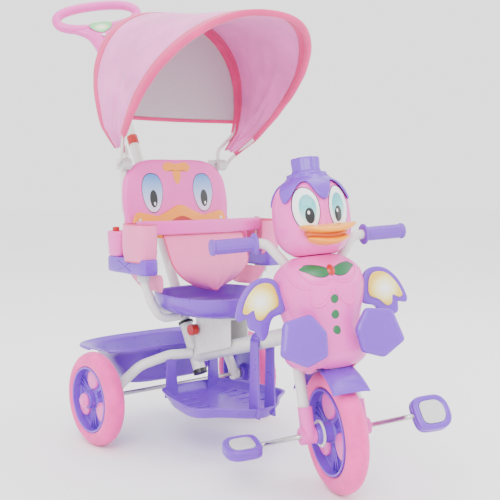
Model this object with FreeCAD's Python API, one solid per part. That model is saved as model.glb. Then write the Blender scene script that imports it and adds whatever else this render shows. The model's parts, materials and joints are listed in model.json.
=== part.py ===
"""Children's tricycle with a duck-shaped steering head, a canopy and a parent push handle.

Millimetres, +Z up, the tricycle faces -Y, and +X is the rider's left.  Stations are measured
forward of the rear axle while modelling, and the finished set is moved so that the origin is
at the bottom centre of the whole object.
"""
import FreeCAD, Part
import math
import os

V = FreeCAD.Vector

# ---- driving dimensions -----------------------------------------------------------------
WHEELBASE = 573.0            # rear axle to front axle, wheel straight
FRONT_TYRE_D = 250.0
REAR_TYRE_D = 220.0
TYRE_W = 45.0
REAR_TRACK = 452.0           # between the rear wheels' middle planes
RAKE = 10.0                  # steering axis lean, top towards the rear, degrees
STEER_REST = 20.0            # turn to the rider's right in the stored pose, degrees
FORK_SETBACK = 20.0          # steering axis behind the front axle
FORK_HALF = 57.0             # fork leg to wheel plane
LEG_D = 22.0
AXLE_D = 10.0                # rear axle rod and crank rod
CRANK_R = 90.0               # pedal spindle to wheel centre
CRANK_REST = 2.0             # right crank arm below the level, pointing rearward, degrees
PEDAL_L = 78.0
PEDAL_W = 70.0
PEDAL_T = 23.0
PEDAL_MID = 169.0            # pedal centre to wheel plane
CRANK_KNEE = 118.0           # where each crank arm turns into its pedal spindle
CRANK_FOOT = 84.0            # where each crank arm leaves the axle
PAD_EDGE = 11.5              # pedal frame round each pad
PAD_T = 3.0
BAR_HALF = 212.0             # handlebar centre to grip end
BAR_D = 20.0
BAR_RISE = 246.0             # handlebar ends above the fork crown, along the steering axis
GRIP_L = 95.0
GRIP_D = 31.0
MAIN_TUBE_D = 36.0
STAY_D = 24.0
POST_D = 19.0
HOOP_D = 9.0
TUBE_WALL = 1.6
POLE_D = 25.0
POLE_LEAN = 27.9             # push pole lean from upright, top towards the rear, degrees
POLE_LEN = 993.0
SOCKET_WALL = 3.0
HANDLE_W = 248.0             # push handle ring, outside
HANDLE_H = 96.0
HANDLE_T = 28.0              # thickness of the ring's rim
HANDLE_TURN = -22.0          # turn of the handle about its pole, degrees
SEAT_W = 262.0
SEAT_L = 280.0
SEAT_Z = 312.0               # underside of the seat pan
SEAT_H = 50.0
BACK_W = 300.0
BACK_H = 190.0
BACK_T = 22.0
BACK_Z = 482.0               # lower edge of the backrest
BACK_TILT = 8.0
ARM_X = 178.0                # armrest centre line
ARM_Z = 410.0                # underside of the armrest box
BAR_Z = 512.0                # middle of the safety bar
BAR_H = 32.0
BAR_T = 12.0
CANOPY_X = 140.0             # canopy pivots
CANOPY_Z = 657.0
CANOPY_HALF = 203.0          # widest half width of the hoops
FRONT_HOOP_R = 484.0         # pivot to the top of the front hoop
FRONT_HOOP_A = 50.0          # front hoop lean forward, degrees
REAR_HOOP_R = 362.0
REAR_HOOP_A = -5.0
CLOTH_T = 1.4
TRAY_Z = 100.0               # underside of the footrest
TRAY_H = 26.0
HANGER_W = 28.0
FRONT_HANGER = 338.0         # footrest hangers, forward of the rear axle
REAR_HANGER = 72.0
REAR_HANGER_X = 62.0
CLEAR = 0.6                  # gap between neighbouring pieces of different bodies
RUN = 0.05                   # radial running clearance
SLIDE_GAP = 0.3              # seat pan above its bracket
SNUG = 0.02                  # gap between neighbouring fixed pieces

PARTS = {}


# ---- helpers ----------------------------------------------------------------------------
def at(x, forward, z):
    return V(x, -forward, z)


def add(name, shape):
    PARTS[name] = shape
    return shape


def arc_path(points, bend):
    """Straight runs joined by tangent arcs of radius bend, limited by the shorter run."""
    edges = []
    last = points[0]
    for before, corner, after in zip(points, points[1:], points[2:]):
        a = before - corner
        b = after - corner
        run = min(a.Length, b.Length)
        a.normalize()
        b.normalize()
        half = a.getAngle(b) / 2
        setback = min(bend / math.tan(half), 0.45 * run)
        radius = setback * math.tan(half)
        start = corner + a * setback
        end = corner + b * setback
        towards = a + b
        towards.normalize()
        middle = corner + towards * (radius / math.sin(half) - radius)
        edges.append(Part.LineSegment(last, start).toShape())
        edges.append(Part.Arc(start, middle, end).toShape())
        last = end
    edges.append(Part.LineSegment(last, points[-1]).toShape())
    return Part.Wire(edges)


def sweep(points, radius, bend):
    path = arc_path(points, bend)
    ring = Part.Wire([Part.makeCircle(radius, points[0], points[1] - points[0])])
    pipe = Part.BRepOffsetAPI.MakePipeShell(path)
    pipe.add(ring)
    pipe.setTransitionMode(2)
    pipe.build()
    pipe.makeSolid()
    return pipe.shape()


def rod(a, b, radius):
    return Part.makeCylinder(radius, (b - a).Length, a, b - a)


def tube(points, diameter, bend=60.0, wall=TUBE_WALL):
    outer = sweep(points, diameter / 2, bend)
    return outer.cut(sweep(points, diameter / 2 - wall, bend))


def round_wire(cx, cy, z, half_x, half_y, power=2.0, count=24):
    """Closed smooth outline |x/a|^n + |y/b|^n = 1 at height z."""
    points = []
    for i in range(count):
        t = 2 * math.pi * i / count
        c, s = math.cos(t), math.sin(t)
        px = half_x * math.copysign(abs(c) ** (2 / power), c)
        py = half_y * math.copysign(abs(s) ** (2 / power), s)
        points.append(V(cx + px, cy + py, z))
    curve = Part.BSplineCurve()
    curve.interpolate(points, PeriodicFlag=True)
    return Part.Wire([curve.toShape()])


def loft(wires, ruled=False):
    return Part.makeLoft(wires, True, ruled)


def plate(points, thickness, smooth=False):
    """A flat plate: outline points in XZ, thickness along +Y."""
    pts = [V(x, 0, z) for x, z in points]
    if smooth:
        curve = Part.BSplineCurve()
        curve.interpolate(pts, PeriodicFlag=True)
        wire = Part.Wire([curve.toShape()])
    else:
        wire = Part.makePolygon(pts + [pts[0]])
    return Part.Face(wire).extrude(V(0, thickness, 0))


def spun(profile, axis=V(1, 0, 0)):
    """Solid of revolution about X: profile points are (x, radius)."""
    pts = [V(x, 0, r) for x, r in profile]
    face = Part.Face(Part.makePolygon(pts + [pts[0]]))
    return face.revolve(V(0, 0, 0), axis, 360)


def moved(shape, offset):
    out = shape.copy()
    out.translate(offset)
    return out


def mirrored(shape):
    return shape.mirror(V(0, 0, 0), V(1, 0, 0))


def pair(name, right):
    """One node holding the given right-hand piece (-X) and its mirror image."""
    add(name, Part.makeCompound([right, mirrored(right)]))


def biggest(shape):
    return max(shape.Solids, key=lambda s: s.Volume)


def soften(shape, radius):
    """Round every edge."""
    return shape.makeFillet(radius, shape.Edges)


# ---- steering frame: local origin at the front axle, local Z along the steering axis ----
def steered(shape):
    """Turn a front piece about the steering axis, rake it and set it on its axle."""
    out = shape.copy()
    out.rotate(V(0, FORK_SETBACK, 0), V(0, 0, 1), -STEER_REST)
    out.rotate(V(0, 0, 0), V(1, 0, 0), -RAKE)
    out.translate(at(0, WHEELBASE, FRONT_TYRE_D / 2 + WHEEL_LIFT))
    return out


def straight(shape):
    """Rake a piece of the frame that lies on the steering axis, without turning it."""
    out = shape.copy()
    out.rotate(V(0, 0, 0), V(1, 0, 0), -RAKE)
    out.translate(at(0, WHEELBASE, FRONT_TYRE_D / 2 + WHEEL_LIFT))
    return out


def steer_point(x, y, z):
    mark = Part.Vertex(V(x, y, z))
    return steered(mark).Point


def tyre_dip():
    """How far the turned front tyre would reach below the floor."""
    mark = Part.makeTorus(FRONT_TYRE_D / 2 - TYRE_W / 2, TYRE_W / 2, V(0, 0, 0), V(1, 0, 0))
    mark.rotate(V(0, FORK_SETBACK, 0), V(0, 0, 1), -STEER_REST)
    mark.rotate(V(0, 0, 0), V(1, 0, 0), -RAKE)
    mark.translate(V(0, 0, FRONT_TYRE_D / 2))
    return mark.optimalBoundingBox().ZMin


WHEEL_LIFT = -tyre_dip()

# ---- wheels -----------------------------------------------------------------------------
RIM_FLANGE = 0.70            # rim radius as a share of the tyre radius
HUB_R = 20.0


def tyre(diameter):
    r_out = diameter / 2
    r_in = r_out * RIM_FLANGE
    w = TYRE_W / 2
    crown = TYRE_W / 2
    ring = Part.makeTorus(r_out - crown, crown, V(0, 0, 0), V(1, 0, 0))
    bore = Part.makeCylinder(r_in, 2 * w, V(-w, 0, 0), V(1, 0, 0))
    band = Part.makeCylinder(r_out - crown, 2 * w, V(-w, 0, 0), V(1, 0, 0))
    return ring.fuse(band).cut(bore).removeSplitter()


def rim(diameter, bore_r, hub_half):
    """Dished rim: a barrel under the tyre, a sloping web and a hub tube."""
    r = diameter / 2 * RIM_FLANGE - SNUG
    half = TYRE_W / 2 - 1.0
    barrel = spun([(-half, r - 5), (-half, r), (half, r), (half, r - 5)])
    web = spun([(-8, HUB_R - 2), (4, HUB_R - 2), (7, r - 4), (-1, r - 4)])
    hub = Part.makeCylinder(HUB_R, 2 * hub_half, V(-hub_half, 0, 0), V(1, 0, 0))
    body = barrel.fuse(web).fuse(hub)
    return body.cut(Part.makeCylinder(bore_r, 4 * hub_half, V(-2 * hub_half, 0, 0), V(1, 0, 0)))


REAR_HUB_HALF = 26.0


def rear_wheels():
    x = REAR_TRACK / 2
    z = REAR_TYRE_D / 2
    for name, side in (("right", -1), ("left", 1)):
        place = at(side * x, 0, z)
        add("rear_tyre_" + name, moved(tyre(REAR_TYRE_D), place))
        add("rear_rim_" + name, moved(rim(REAR_TYRE_D, AXLE_D / 2 + RUN, REAR_HUB_HALF), place))
        cap = Part.makeCylinder(17, 8, V(side * (REAR_HUB_HALF + SNUG), 0, 0), V(side, 0, 0))
        cap = cap.fuse(Part.makeCylinder(10, 5, V(side * (REAR_HUB_HALF + 8), 0, 0), V(side, 0, 0)))
        room = Part.makeCylinder(AXLE_D / 2 + 1, 9, V(side * (REAR_HUB_HALF - 2), 0, 0), V(side, 0, 0))
        add("rear_hub_cap_" + name, moved(cap.cut(room), place))


def rear_axle():
    reach = REAR_TRACK / 2 + REAR_HUB_HALF + 4
    z = REAR_TYRE_D / 2
    add("rear_axle", rod(at(-reach, 0, z), at(reach, 0, z), AXLE_D / 2))
    inner = REAR_TRACK / 2 - REAR_HUB_HALF - CLEAR
    disc = Part.makeCylinder(13, 3, at(3 - inner, 0, z), V(-1, 0, 0))
    pair("axle_washers", disc.cut(rod(at(-reach, 0, z), at(reach, 0, z), AXLE_D / 2 + SNUG)))


# ---- frame ------------------------------------------------------------------------------
CROWN_UP = FRONT_TYRE_D / 2 + 15     # underside of the fork crown above the front axle
HEAD_LOW = CROWN_UP + 28             # head tube span, along the steering axis
HEAD_HIGH = CROWN_UP + 100
HEAD_D = 40.0
STEM_D = 22.0
STEM_WALL = 2.5
TUBE_REAR = at(0, 85, 197)


def head_point(h):
    mark = Part.Vertex(V(0, FORK_SETBACK, h))
    return straight(mark).Point


def pole_axis(distance):
    """Point on the push pole's axis, measured up from the foot of its socket."""
    foot = at(0, 101, 165)
    lean = math.radians(POLE_LEAN)
    return foot + V(0, math.sin(lean), math.cos(lean)) * distance


STAY_Z = 203.0
STAY_FOOT_X = REAR_TRACK / 2 - 42


def stay_route():
    """Axis of the rider's right stay, from the main tube out and down to the rear axle."""
    x = STAY_FOOT_X
    return [at(-14, 92, STAY_Z + 2), at(-62, 66, STAY_Z), at(-0.70 * x, 40, STAY_Z - 21),
            at(18 - x, 12, REAR_TYRE_D / 2 + 28), at(-x, 0, REAR_TYRE_D / 2)]


def frame_tubes():
    middle = head_point((HEAD_LOW + HEAD_HIGH) / 2)
    head = rod(head_point(HEAD_LOW), head_point(HEAD_HIGH), HEAD_D / 2)
    bore = rod(head_point(HEAD_LOW - 5), head_point(HEAD_HIGH + 5), HEAD_D / 2 - 4)
    add("head_tube", head.cut(bore))
    socket_r = POLE_D / 2 + SOCKET_WALL
    socket = rod(pole_axis(0), pole_axis(118), socket_r)
    socket = socket.cut(rod(pole_axis(6), pole_axis(130), POLE_D / 2 + 0.3))
    add("pole_socket", socket)
    main = rod(TUBE_REAR, middle, MAIN_TUBE_D / 2)
    inner = rod(TUBE_REAR, middle, MAIN_TUBE_D / 2 - TUBE_WALL)
    gap = rod(pole_axis(-30), pole_axis(160), socket_r + SNUG)
    main = main.cut(inner).cut(gap)
    main = main.cut(rod(head_point(HEAD_LOW - 50), head_point(HEAD_HIGH + 50), HEAD_D / 2 + SNUG))
    add("main_tube", biggest(main))
    z = REAR_TYRE_D / 2
    clear_main = rod(TUBE_REAR + V(0, 60, -17), middle, MAIN_TUBE_D / 2 + SNUG)
    stay = tube(stay_route(), STAY_D, 60)
    eye = Part.makeCylinder(15, 16, at(-STAY_FOOT_X - 8, 0, z), V(1, 0, 0))
    stay = stay.fuse(eye).cut(rod(at(-300, 0, z), at(0, 0, z), AXLE_D / 2 + SNUG))
    stay = stay.cut(clear_main).cut(rod(pole_axis(-30), pole_axis(160), socket_r + SNUG))
    stay = stay.cut(PARTS["main_tube"])
    pair("rear_stays", biggest(stay))


BRACKET_HALF = 26.0
BRACKET_BACK = 124.0
KNOB_AT = at(-BRACKET_HALF - 1, BRACKET_BACK + 6, SEAT_Z - 42)


def seat_bracket():
    """Folded sheet box between the main tube and the seat, open at the front and back."""
    length = 132.0
    back = BRACKET_BACK
    half = BRACKET_HALF
    box = Part.makeBox(2 * half, length, 100, at(-half, back + length, SEAT_Z - 100 - SLIDE_GAP))
    corner = at(-half + 2.5, back + length + 5, SEAT_Z - 102.5)
    hollow = Part.makeBox(2 * half - 5, length + 10, 97.5, corner)
    middle = head_point((HEAD_LOW + HEAD_HIGH) / 2)
    below = rod(TUBE_REAR, middle, MAIN_TUBE_D / 2 + SNUG)
    under = Part.makeBox(200, 400, 200, at(-100, 400, -200))
    slope = math.degrees(math.atan2(middle.z - TUBE_REAR.z, -(middle.y - TUBE_REAR.y)))
    under.rotate(V(0, 0, 0), V(1, 0, 0), -slope)
    under.translate(V(0, 0, TUBE_REAR.z + math.tan(math.radians(slope)) * TUBE_REAR.y))
    bracket = box.cut(hollow).cut(below).cut(under)
    bracket = bracket.cut(rod(pole_axis(-30), pole_axis(400), POLE_D / 2 + SOCKET_WALL + CLEAR))
    add("seat_bracket", biggest(bracket))
    knob = Part.makeCylinder(13, 16, KNOB_AT + V(-4, 0, 0), V(-1, 0, 0))
    add("seat_lock_knob", knob.fuse(Part.makeCylinder(4, 4, KNOB_AT, V(-1, 0, 0))))


def pole():
    foot = pole_axis(8)
    body = rod(foot, pole_axis(POLE_LEN - 20), POLE_D / 2)
    body = body.cut(rod(foot, pole_axis(POLE_LEN), POLE_D / 2 - TUBE_WALL))
    add("push_pole", body)
    ring = rod(pole_axis(118 + CLEAR), pole_axis(124), POLE_D / 2 + 6)
    collar = ring.cut(rod(pole_axis(100), pole_axis(140), POLE_D / 2 + 0.3))
    plug = rod(pole_axis(-10), pole_axis(-SNUG), POLE_D / 2 + SOCKET_WALL + 1.5)
    add("socket_caps", Part.makeCompound([collar, plug]))


NECK_UP = 80.0               # neck's foot below the end of the pole
RING_UP = 104.0              # middle of the ring above the neck's foot


def on_pole(shape):
    """Set a piece that is modelled upright about the neck's foot onto the turned, leaning pole."""
    out = shape.copy()
    out.rotate(V(0, 0, 0), V(0, 0, 1), HANDLE_TURN)
    out.rotate(V(0, 0, 0), V(1, 0, 0), -POLE_LEAN)
    out.translate(pole_axis(POLE_LEN - NECK_UP))
    return out


def upright_oval(half_x, half_z, depth):
    """Oval slab in the XZ plane about the middle of the ring."""
    slab = Part.Face(round_wire(0, 0, 0, half_x, half_z, 2.4)).extrude(V(0, 0, depth))
    slab.rotate(V(0, 0, 0), V(1, 0, 0), 90)
    slab.translate(V(0, depth / 2, RING_UP))
    return slab


def push_handle():
    """Wide ring handle on a tapering neck."""
    depth = 30.0
    hole = upright_oval(HANDLE_W / 2 - HANDLE_T, HANDLE_H / 2 - HANDLE_T * 0.85, 2 * depth)
    shoulder = RING_UP - HANDLE_H / 2
    neck = [(-24, -22), (24, -22), (30, 10), (46, shoulder - 4), (80, shoulder + 14), (-80, shoulder + 14),
            (-46, shoulder - 4), (-30, 10)]
    web = plate(neck, depth - 4)
    web.translate(V(0, 2 - depth / 2, 0))
    body = upright_oval(HANDLE_W / 2, HANDLE_H / 2, depth).fuse(web).cut(hole)
    body = body.fuse(Part.makeCylinder(POLE_D / 2 + 5, 60, V(0, 0, -24)))
    body = body.cut(Part.makeCylinder(POLE_D / 2 + SNUG, 90, V(0, 0, -30))).removeSplitter()
    add("push_handle", on_pole(body))
    bolts = []
    for up in (10, 34):
        bolt = Part.makeCylinder(4.5, 3, V(0, -POLE_D / 2 - 8, up), V(0, 1, 0))
        bolts.append(biggest(bolt.cut(body)))
    add("handle_screws", on_pole(Part.makeCompound(bolts)))


# ---- seat, back and arms ----------------------------------------------------------------
SEAT_MID = 168.0             # seat centre, forward of the rear axle
SEAT_WALL = 5.0


def seat():
    c = at(0, SEAT_MID, 0)
    a, b = SEAT_W / 2, SEAT_L / 2
    outer = loft([round_wire(0, c.y, SEAT_Z, a * 0.72, b * 0.78, 2.6),
                  round_wire(0, c.y, SEAT_Z + SEAT_H * 0.35, a * 0.95, b * 0.97, 2.6),
                  round_wire(0, c.y, SEAT_Z + SEAT_H, a, b, 2.6)])
    w = SEAT_WALL
    bowl = loft([round_wire(0, c.y, SEAT_Z + w, a * 0.72 - w, b * 0.78 - w, 2.6),
                 round_wire(0, c.y, SEAT_Z + SEAT_H * 0.35 + w, a * 0.95 - w, b * 0.97 - w, 2.6),
                 round_wire(0, c.y, SEAT_Z + SEAT_H + 1, a - w, b - w, 2.6)])
    body = outer.cut(bowl)
    body = body.cut(rod(pole_axis(-30), pole_axis(500), POLE_D / 2 + 4)).cut(post_room())
    add("seat_pan", biggest(body))


def tilt_back(shape):
    out = shape.copy()
    out.rotate(V(0, 0, 0), V(1, 0, 0), -BACK_TILT)
    out.translate(at(0, 30, BACK_Z))
    return out


def back_outline(inset):
    w = BACK_W / 2 - inset
    h = BACK_H
    return [(-w * 0.90, inset + 6), (0, inset), (w * 0.90, inset + 6),
            (w * 0.99, h * 0.30), (w, h * 0.55), (w * 0.92, h * 0.80), (w * 0.62, h - inset - 4),
            (0, h - inset), (-w * 0.62, h - inset - 4), (-w * 0.92, h * 0.80), (-w, h * 0.55),
            (-w * 0.99, h * 0.30)]


def backrest():
    panel = plate(back_outline(0), BACK_T, smooth=True)
    hollow = plate(back_outline(6), BACK_T - 4, smooth=True)
    hollow.translate(V(0, 4, 0))
    panel = tilt_back(panel.cut(hollow)).cut(post_room()).cut(canopy_bracket_room())
    ear = Part.makeBox(24, 60, 40, V(-CANOPY_X - 6, 0, CANOPY_Z - 20))
    panel = panel.cut([ear, mirrored(ear)])
    add("backrest_panel", biggest(panel))
    beak = [(-128, 10), (-60, -2), (0, -6), (60, -2), (128, 10), (136, 40), (120, 62), (78, 50),
            (40, 62), (0, 78), (-40, 62), (-78, 50), (-120, 62), (-136, 40)]
    cover = plate(beak, 5, smooth=True)
    cover.translate(V(0, -5 - SNUG, 0))
    add("backrest_beak", tilt_back(cover))
    screws = []
    for side in (-1, 1):
        screws.append(tilt_back(Part.makeCylinder(3.5, 2, V(side * 118, -7 - 2 * SNUG, 44), V(0, 1, 0))))
    add("backrest_screws", Part.makeCompound(screws))


def back_post_route(side):
    x = CANOPY_X - 6
    under = SEAT_Z - POST_D / 2 - SNUG
    rise = [(44, 92, under), (72, 34, under), (90, 16, SEAT_Z + 40), (122, 4, SEAT_Z + 138), (x, -12, 560),
            (x, -14, CANOPY_Z - 14)]
    return [at(side * px, f, z) for px, f, z in rise]


def post_room():
    """Space taken by both back posts, with a snug gap round them."""
    return [sweep(back_post_route(side), POST_D / 2 + SNUG, 60) for side in (-1, 1)]


def canopy_bracket_room():
    reach = CANOPY_X + 40
    return Part.makeCylinder(14 + SNUG, 2 * reach, at(-reach, 0, CANOPY_Z), V(1, 0, 0))


def back_frame():
    """Two bent posts behind the backrest, welded to a crossbar, with the canopy brackets on top."""
    post = tube(back_post_route(-1), POST_D, 60)
    cross = rod(at(-CANOPY_X + 18, -13, 600), at(CANOPY_X - 18, -13, 600), 8).cut(post_room())
    add("back_frame", Part.makeCompound([post, mirrored(post), biggest(cross)]))
    centre = at(-CANOPY_X, 0, CANOPY_Z)
    block = Part.makeCylinder(14, 24, centre + V(12, 0, 0), V(-1, 0, 0))
    ear = Part.makeBox(20, 30, 26, V(-CANOPY_X - 4, 2, CANOPY_Z - 13 - SNUG))
    block = block.fuse(ear).cut(post_room())
    pin = Part.makeCylinder(HOOP_D / 2 + RUN, 60, centre + V(30, 0, 0), V(-1, 0, 0))
    pair("canopy_brackets", biggest(block.cut(pin)))


BAR_Y = -118.0               # front face of the bar's ends
BAR_BOW = 22.0
HINGE_D = 5.0
HINGE_IN = 12.0              # hinge pin inboard of the armrest centre line
BAR_PIVOT = V(ARM_X - HINGE_IN, BAR_Y + BAR_T / 2 - 1.6, BAR_Z)


def arm_route():
    """Arm post on the rider's right, from under the seat out and up to the arm box."""
    return [at(-70, 118, SEAT_Z - 8), at(-120, 118, SEAT_Z - 10), at(28 - ARM_X, 122, SEAT_Z + 33),
            at(8 - ARM_X, 126, ARM_Z - 14)]


def armrests():
    """Box arms on bent posts, with a pink cup at the rear of each."""
    x = -ARM_X
    route = arm_route()
    post = tube(route, POST_D, 50)
    post = post.cut(PARTS["seat_pan"].fuse(PARTS["seat_bracket"]))
    pair("arm_posts", biggest(post))
    collar = Part.makeCylinder(15, 16, at(x + 8, 126, ARM_Z - 16 - SNUG))
    collar = collar.cut(sweep(route, POST_D / 2 + SNUG, 50))
    pair("arm_collars", biggest(collar))
    box = Part.makeBox(44, 162, 36, at(x - 22, 172, ARM_Z))
    box = soften(box, 5)
    pair("arm_boxes", box)
    base = ARM_Z + 36 + SNUG
    cup = loft([round_wire(x, -36, base, 21, 26, 3), round_wire(x, -36, base + 58, 24, 29, 3)])
    hollow = loft([round_wire(x, -36, base + 5, 18, 23, 3), round_wire(x, -36, base + 53, 21, 26, 3)])
    cup = cup.cut(hollow)
    cup_r = cup.cut(Part.makeCylinder(8.6, 30, V(x, -20, base + 40)))
    add("arm_cups", Part.makeCompound([cup_r, mirrored(cup)]))
    button = Part.makeCylinder(8, 16, V(x, -20, base + 50))
    add("release_button", button)
    sleeve = loft([round_wire(x, -124, ARM_Z + 30, 26, 40, 3.4),
                   round_wire(x, -124, ARM_Z + 112, 26, 44, 3.4)])
    keep = Part.makeBox(46, 164, 37, at(x - 23, 173, ARM_Z - 0.5))
    slot = Part.makeBox(60, 110, 46, V(x - 4, -180, BAR_Z - 23))
    sleeve = biggest(sleeve.cut(keep).cut(slot))
    pin_room = Part.makeCylinder(HINGE_D / 2 + SNUG, 100, BAR_PIVOT - V(0, 0, 50))
    add("arm_sleeves", Part.makeCompound([sleeve, mirrored(sleeve).cut(pin_room)]))


def bar_hinge():
    """Headed pin through the safety bar into the sleeve on the rider's left."""
    foot = V(0, 0, BAR_H / 2 + 24)
    shank = Part.makeCylinder(HINGE_D / 2, BAR_H + 24 + CLEAR, BAR_PIVOT - foot)
    head = Part.makeCylinder(HINGE_D / 2 + 2.5, 2, BAR_PIVOT + V(0, 0, BAR_H / 2 + CLEAR))
    add("bar_hinge_pin", shank.fuse(head).removeSplitter())


def safety_bar():
    """Flat bar across the front of the seat, bowed forward, hinged at the rider's left."""
    half = ARM_X - 2
    rows = []
    for y in (BAR_Y, BAR_Y + BAR_T):
        rows.append(Part.Arc(V(-half, y, 0), V(0, y - BAR_BOW, 0), V(half, y, 0)).toShape())
    for end in (-half, half):
        rows.append(Part.LineSegment(V(end, BAR_Y, 0), V(end, BAR_Y + BAR_T, 0)).toShape())
    wire = Part.Wire(Part.__sortEdges__(rows))
    bar = Part.Face(wire).extrude(V(0, 0, BAR_H))
    bar.translate(V(0, 0, BAR_Z - BAR_H / 2))
    bore = Part.makeCylinder(HINGE_D / 2 + RUN, 2 * BAR_H, BAR_PIVOT - V(0, 0, BAR_H))
    add("safety_bar", bar.cut(bore))


def soft_panels():
    """Flap that hangs from the bar to the seat, and a side panel below each armrest."""
    rows = []
    for z, half, forward in ((BAR_Z - BAR_H / 2 - CLEAR, 118, 132), (460, 116, 150), (420, 98, 166),
                             (385, 66, 176), (366, 30, 178)):
        front = []
        for t in (-1.2, -0.6, 0, 0.6, 1.2):
            front.append(V(half * math.sin(t), -forward + 26 * (1 - math.cos(t)), z))
        back = [p + V(0, 4.0, 0) for p in reversed(front)]
        f, b = Part.BSplineCurve(), Part.BSplineCurve()
        f.interpolate(front)
        b.interpolate(back)
        e1 = Part.LineSegment(front[-1], back[0]).toShape()
        e2 = Part.LineSegment(back[-1], front[0]).toShape()
        rows.append(Part.Wire([f.toShape(), e1, b.toShape(), e2]))
    add("front_flap", loft(rows))
    wires = []
    for z, x, fore, aft in ((ARM_Z - CLEAR, -146, 168, 30), (388, -138, 160, 50), (366, -126, 140, 70)):
        pts = [at(x, fore, z), at(x - 3, fore, z), at(x - 3, aft, z), at(x, aft, z)]
        wires.append(Part.makePolygon(pts + [pts[0]]))
    side = loft(wires)
    side = side.cut(sweep(arm_route(), POST_D / 2 + CLEAR, 50))
    side = side.cut(PARTS["seat_pan"])
    pair("side_panels", biggest(side))


# ---- basket and footrest ----------------------------------------------------------------
def rear_basket():
    cy = at(0, -62, 0).y
    low, high = 122.0, 222.0
    outer = loft([round_wire(0, cy, low, 120, 52, 3.2), round_wire(0, cy, low + 45, 150, 74, 3.2),
                  round_wire(0, cy, high - 8, 176, 92, 3.2)])
    inner = loft([round_wire(0, cy, low + 4, 117, 49, 3.2), round_wire(0, cy, low + 45, 147, 71, 3.2),
                  round_wire(0, cy, high + 8, 177, 93, 3.2)])
    lip = loft([round_wire(0, cy, high - 12, 176, 92, 3.2), round_wire(0, cy, high - 6, 214, 100, 3.2),
                round_wire(0, cy, high, 214, 100, 3.2)])
    body = outer.fuse(lip).cut(inner)
    body = body.cut(Part.makeBox(600, 200, 400, V(-300, -240, 0))).cut(PARTS["rear_stays"])
    body = body.cut(rod(pole_axis(-30), pole_axis(400), POLE_D / 2 + SOCKET_WALL + CLEAR))
    for side in (-1, 1):
        face = at(side * REAR_TRACK / 2 - TYRE_W / 2 - 4, 0, REAR_TYRE_D / 2)
        body = body.cut(Part.makeCylinder(REAR_TYRE_D / 2 + 4, TYRE_W + 8, face, V(1, 0, 0)))
    body = body.cut(rod(at(-300, 0, REAR_TYRE_D / 2), at(300, 0, REAR_TYRE_D / 2), AXLE_D / 2 + CLEAR))
    add("rear_basket", biggest(body))


def tray_wire(z, grow):
    """Footrest outline: a lobe on each side and a nose under the main tube."""
    half = [(-70, 62), (-104, 104), (-124, 184), (-132, 262), (-86, 300), (-32, 352)]
    pts = []
    for side, run in ((1, half), (-1, list(reversed(half)))):
        for x, forward in run:
            pts.append(at(side * (x - grow), forward + (grow if forward > 180 else -grow), z))
    curve = Part.BSplineCurve()
    curve.interpolate(pts, PeriodicFlag=True)
    return Part.Wire([curve.toShape()])


def main_axis(forward):
    """Point on the main tube's axis at a station."""
    middle = head_point((HEAD_LOW + HEAD_HIGH) / 2)
    share = (forward + TUBE_REAR.y) / (TUBE_REAR.y - middle.y)
    return TUBE_REAR + (middle - TUBE_REAR) * share


def footrest():
    """Tray hung by two straps from the main tube in front and from the stays behind."""
    outer = loft([tray_wire(TRAY_Z, -10), tray_wire(TRAY_Z + TRAY_H, 0)], True)
    inner = loft([tray_wire(TRAY_Z + 4, -14), tray_wire(TRAY_Z + TRAY_H + 1, -6)], True)
    tray = outer.cut(inner)
    top = main_axis(FRONT_HANGER)
    for side in (-1, 1):
        front = Part.makeBox(5, HANGER_W, top.z - TRAY_Z)
        front.translate(V(side * (MAIN_TUBE_D / 2 + 4) - 2.5, top.y - HANGER_W / 2, TRAY_Z + 1))
        rear = Part.makeBox(HANGER_W, 6, STAY_Z - TRAY_Z - 4)
        rear.translate(V(side * REAR_HANGER_X - HANGER_W / 2, -REAR_HANGER - 3, TRAY_Z + 1))
        tray = tray.fuse([front, rear])
    tube_room = rod(main_axis(60), main_axis(480), MAIN_TUBE_D / 2 + SNUG)
    stay_room = sweep(stay_route(), STAY_D / 2 + SNUG, 60)
    tray = tray.cut([tube_room, stay_room, mirrored(stay_room)])
    add("footrest", biggest(tray))
    axis = main_axis(1) - main_axis(0)
    axis.normalize()
    ring = Part.makeCylinder(MAIN_TUBE_D / 2 + 4, HANGER_W, top - axis * (HANGER_W / 2), axis)
    ring = ring.cut(tube_room).cut(Part.makeBox(100, 100, 100, V(-50, top.y - 50, top.z - 100)))
    add("footrest_clamps", biggest(ring.cut(PARTS["footrest"])))


# ---- canopy -----------------------------------------------------------------------------
def hoop_point(share, radius, lean, side, grow=0.0):
    """Point on a hoop, share 0 at its foot and 1 at its top, in the plane of its lean."""
    t = share * math.pi / 2
    half = CANOPY_X + 10
    if share < 0.18:
        out = half + (CANOPY_HALF - 12 - half) * (share / 0.18)
        up = radius * 0.16 * (share / 0.18) + 22
    else:
        u = (share - 0.18) / 0.82
        angle = -0.42 + u * (math.pi / 2 + 0.42)
        out = (CANOPY_HALF + grow) * max(math.cos(angle), 0.0) ** 0.86
        if angle >= 0:
            up = radius * 0.50 + (radius * 0.50 + grow) * math.sin(angle)
        else:
            up = radius * 0.50 + (radius * 0.50 - radius * 0.16 - 22) * math.sin(angle) / math.sin(0.42)
    a = math.radians(lean)
    return V(side * out, -up * math.sin(a), CANOPY_Z + up * math.cos(a))


def hoop_points(radius, lean, count=9, grow=0.0, low=0.18):
    shares = [low + (1 - low) * i / (count - 1) for i in range(count)]
    right = [hoop_point(s, radius, lean, -1, grow) for s in shares]
    left = [hoop_point(s, radius, lean, 1, grow) for s in reversed(shares[:-1])]
    return right + left


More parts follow.
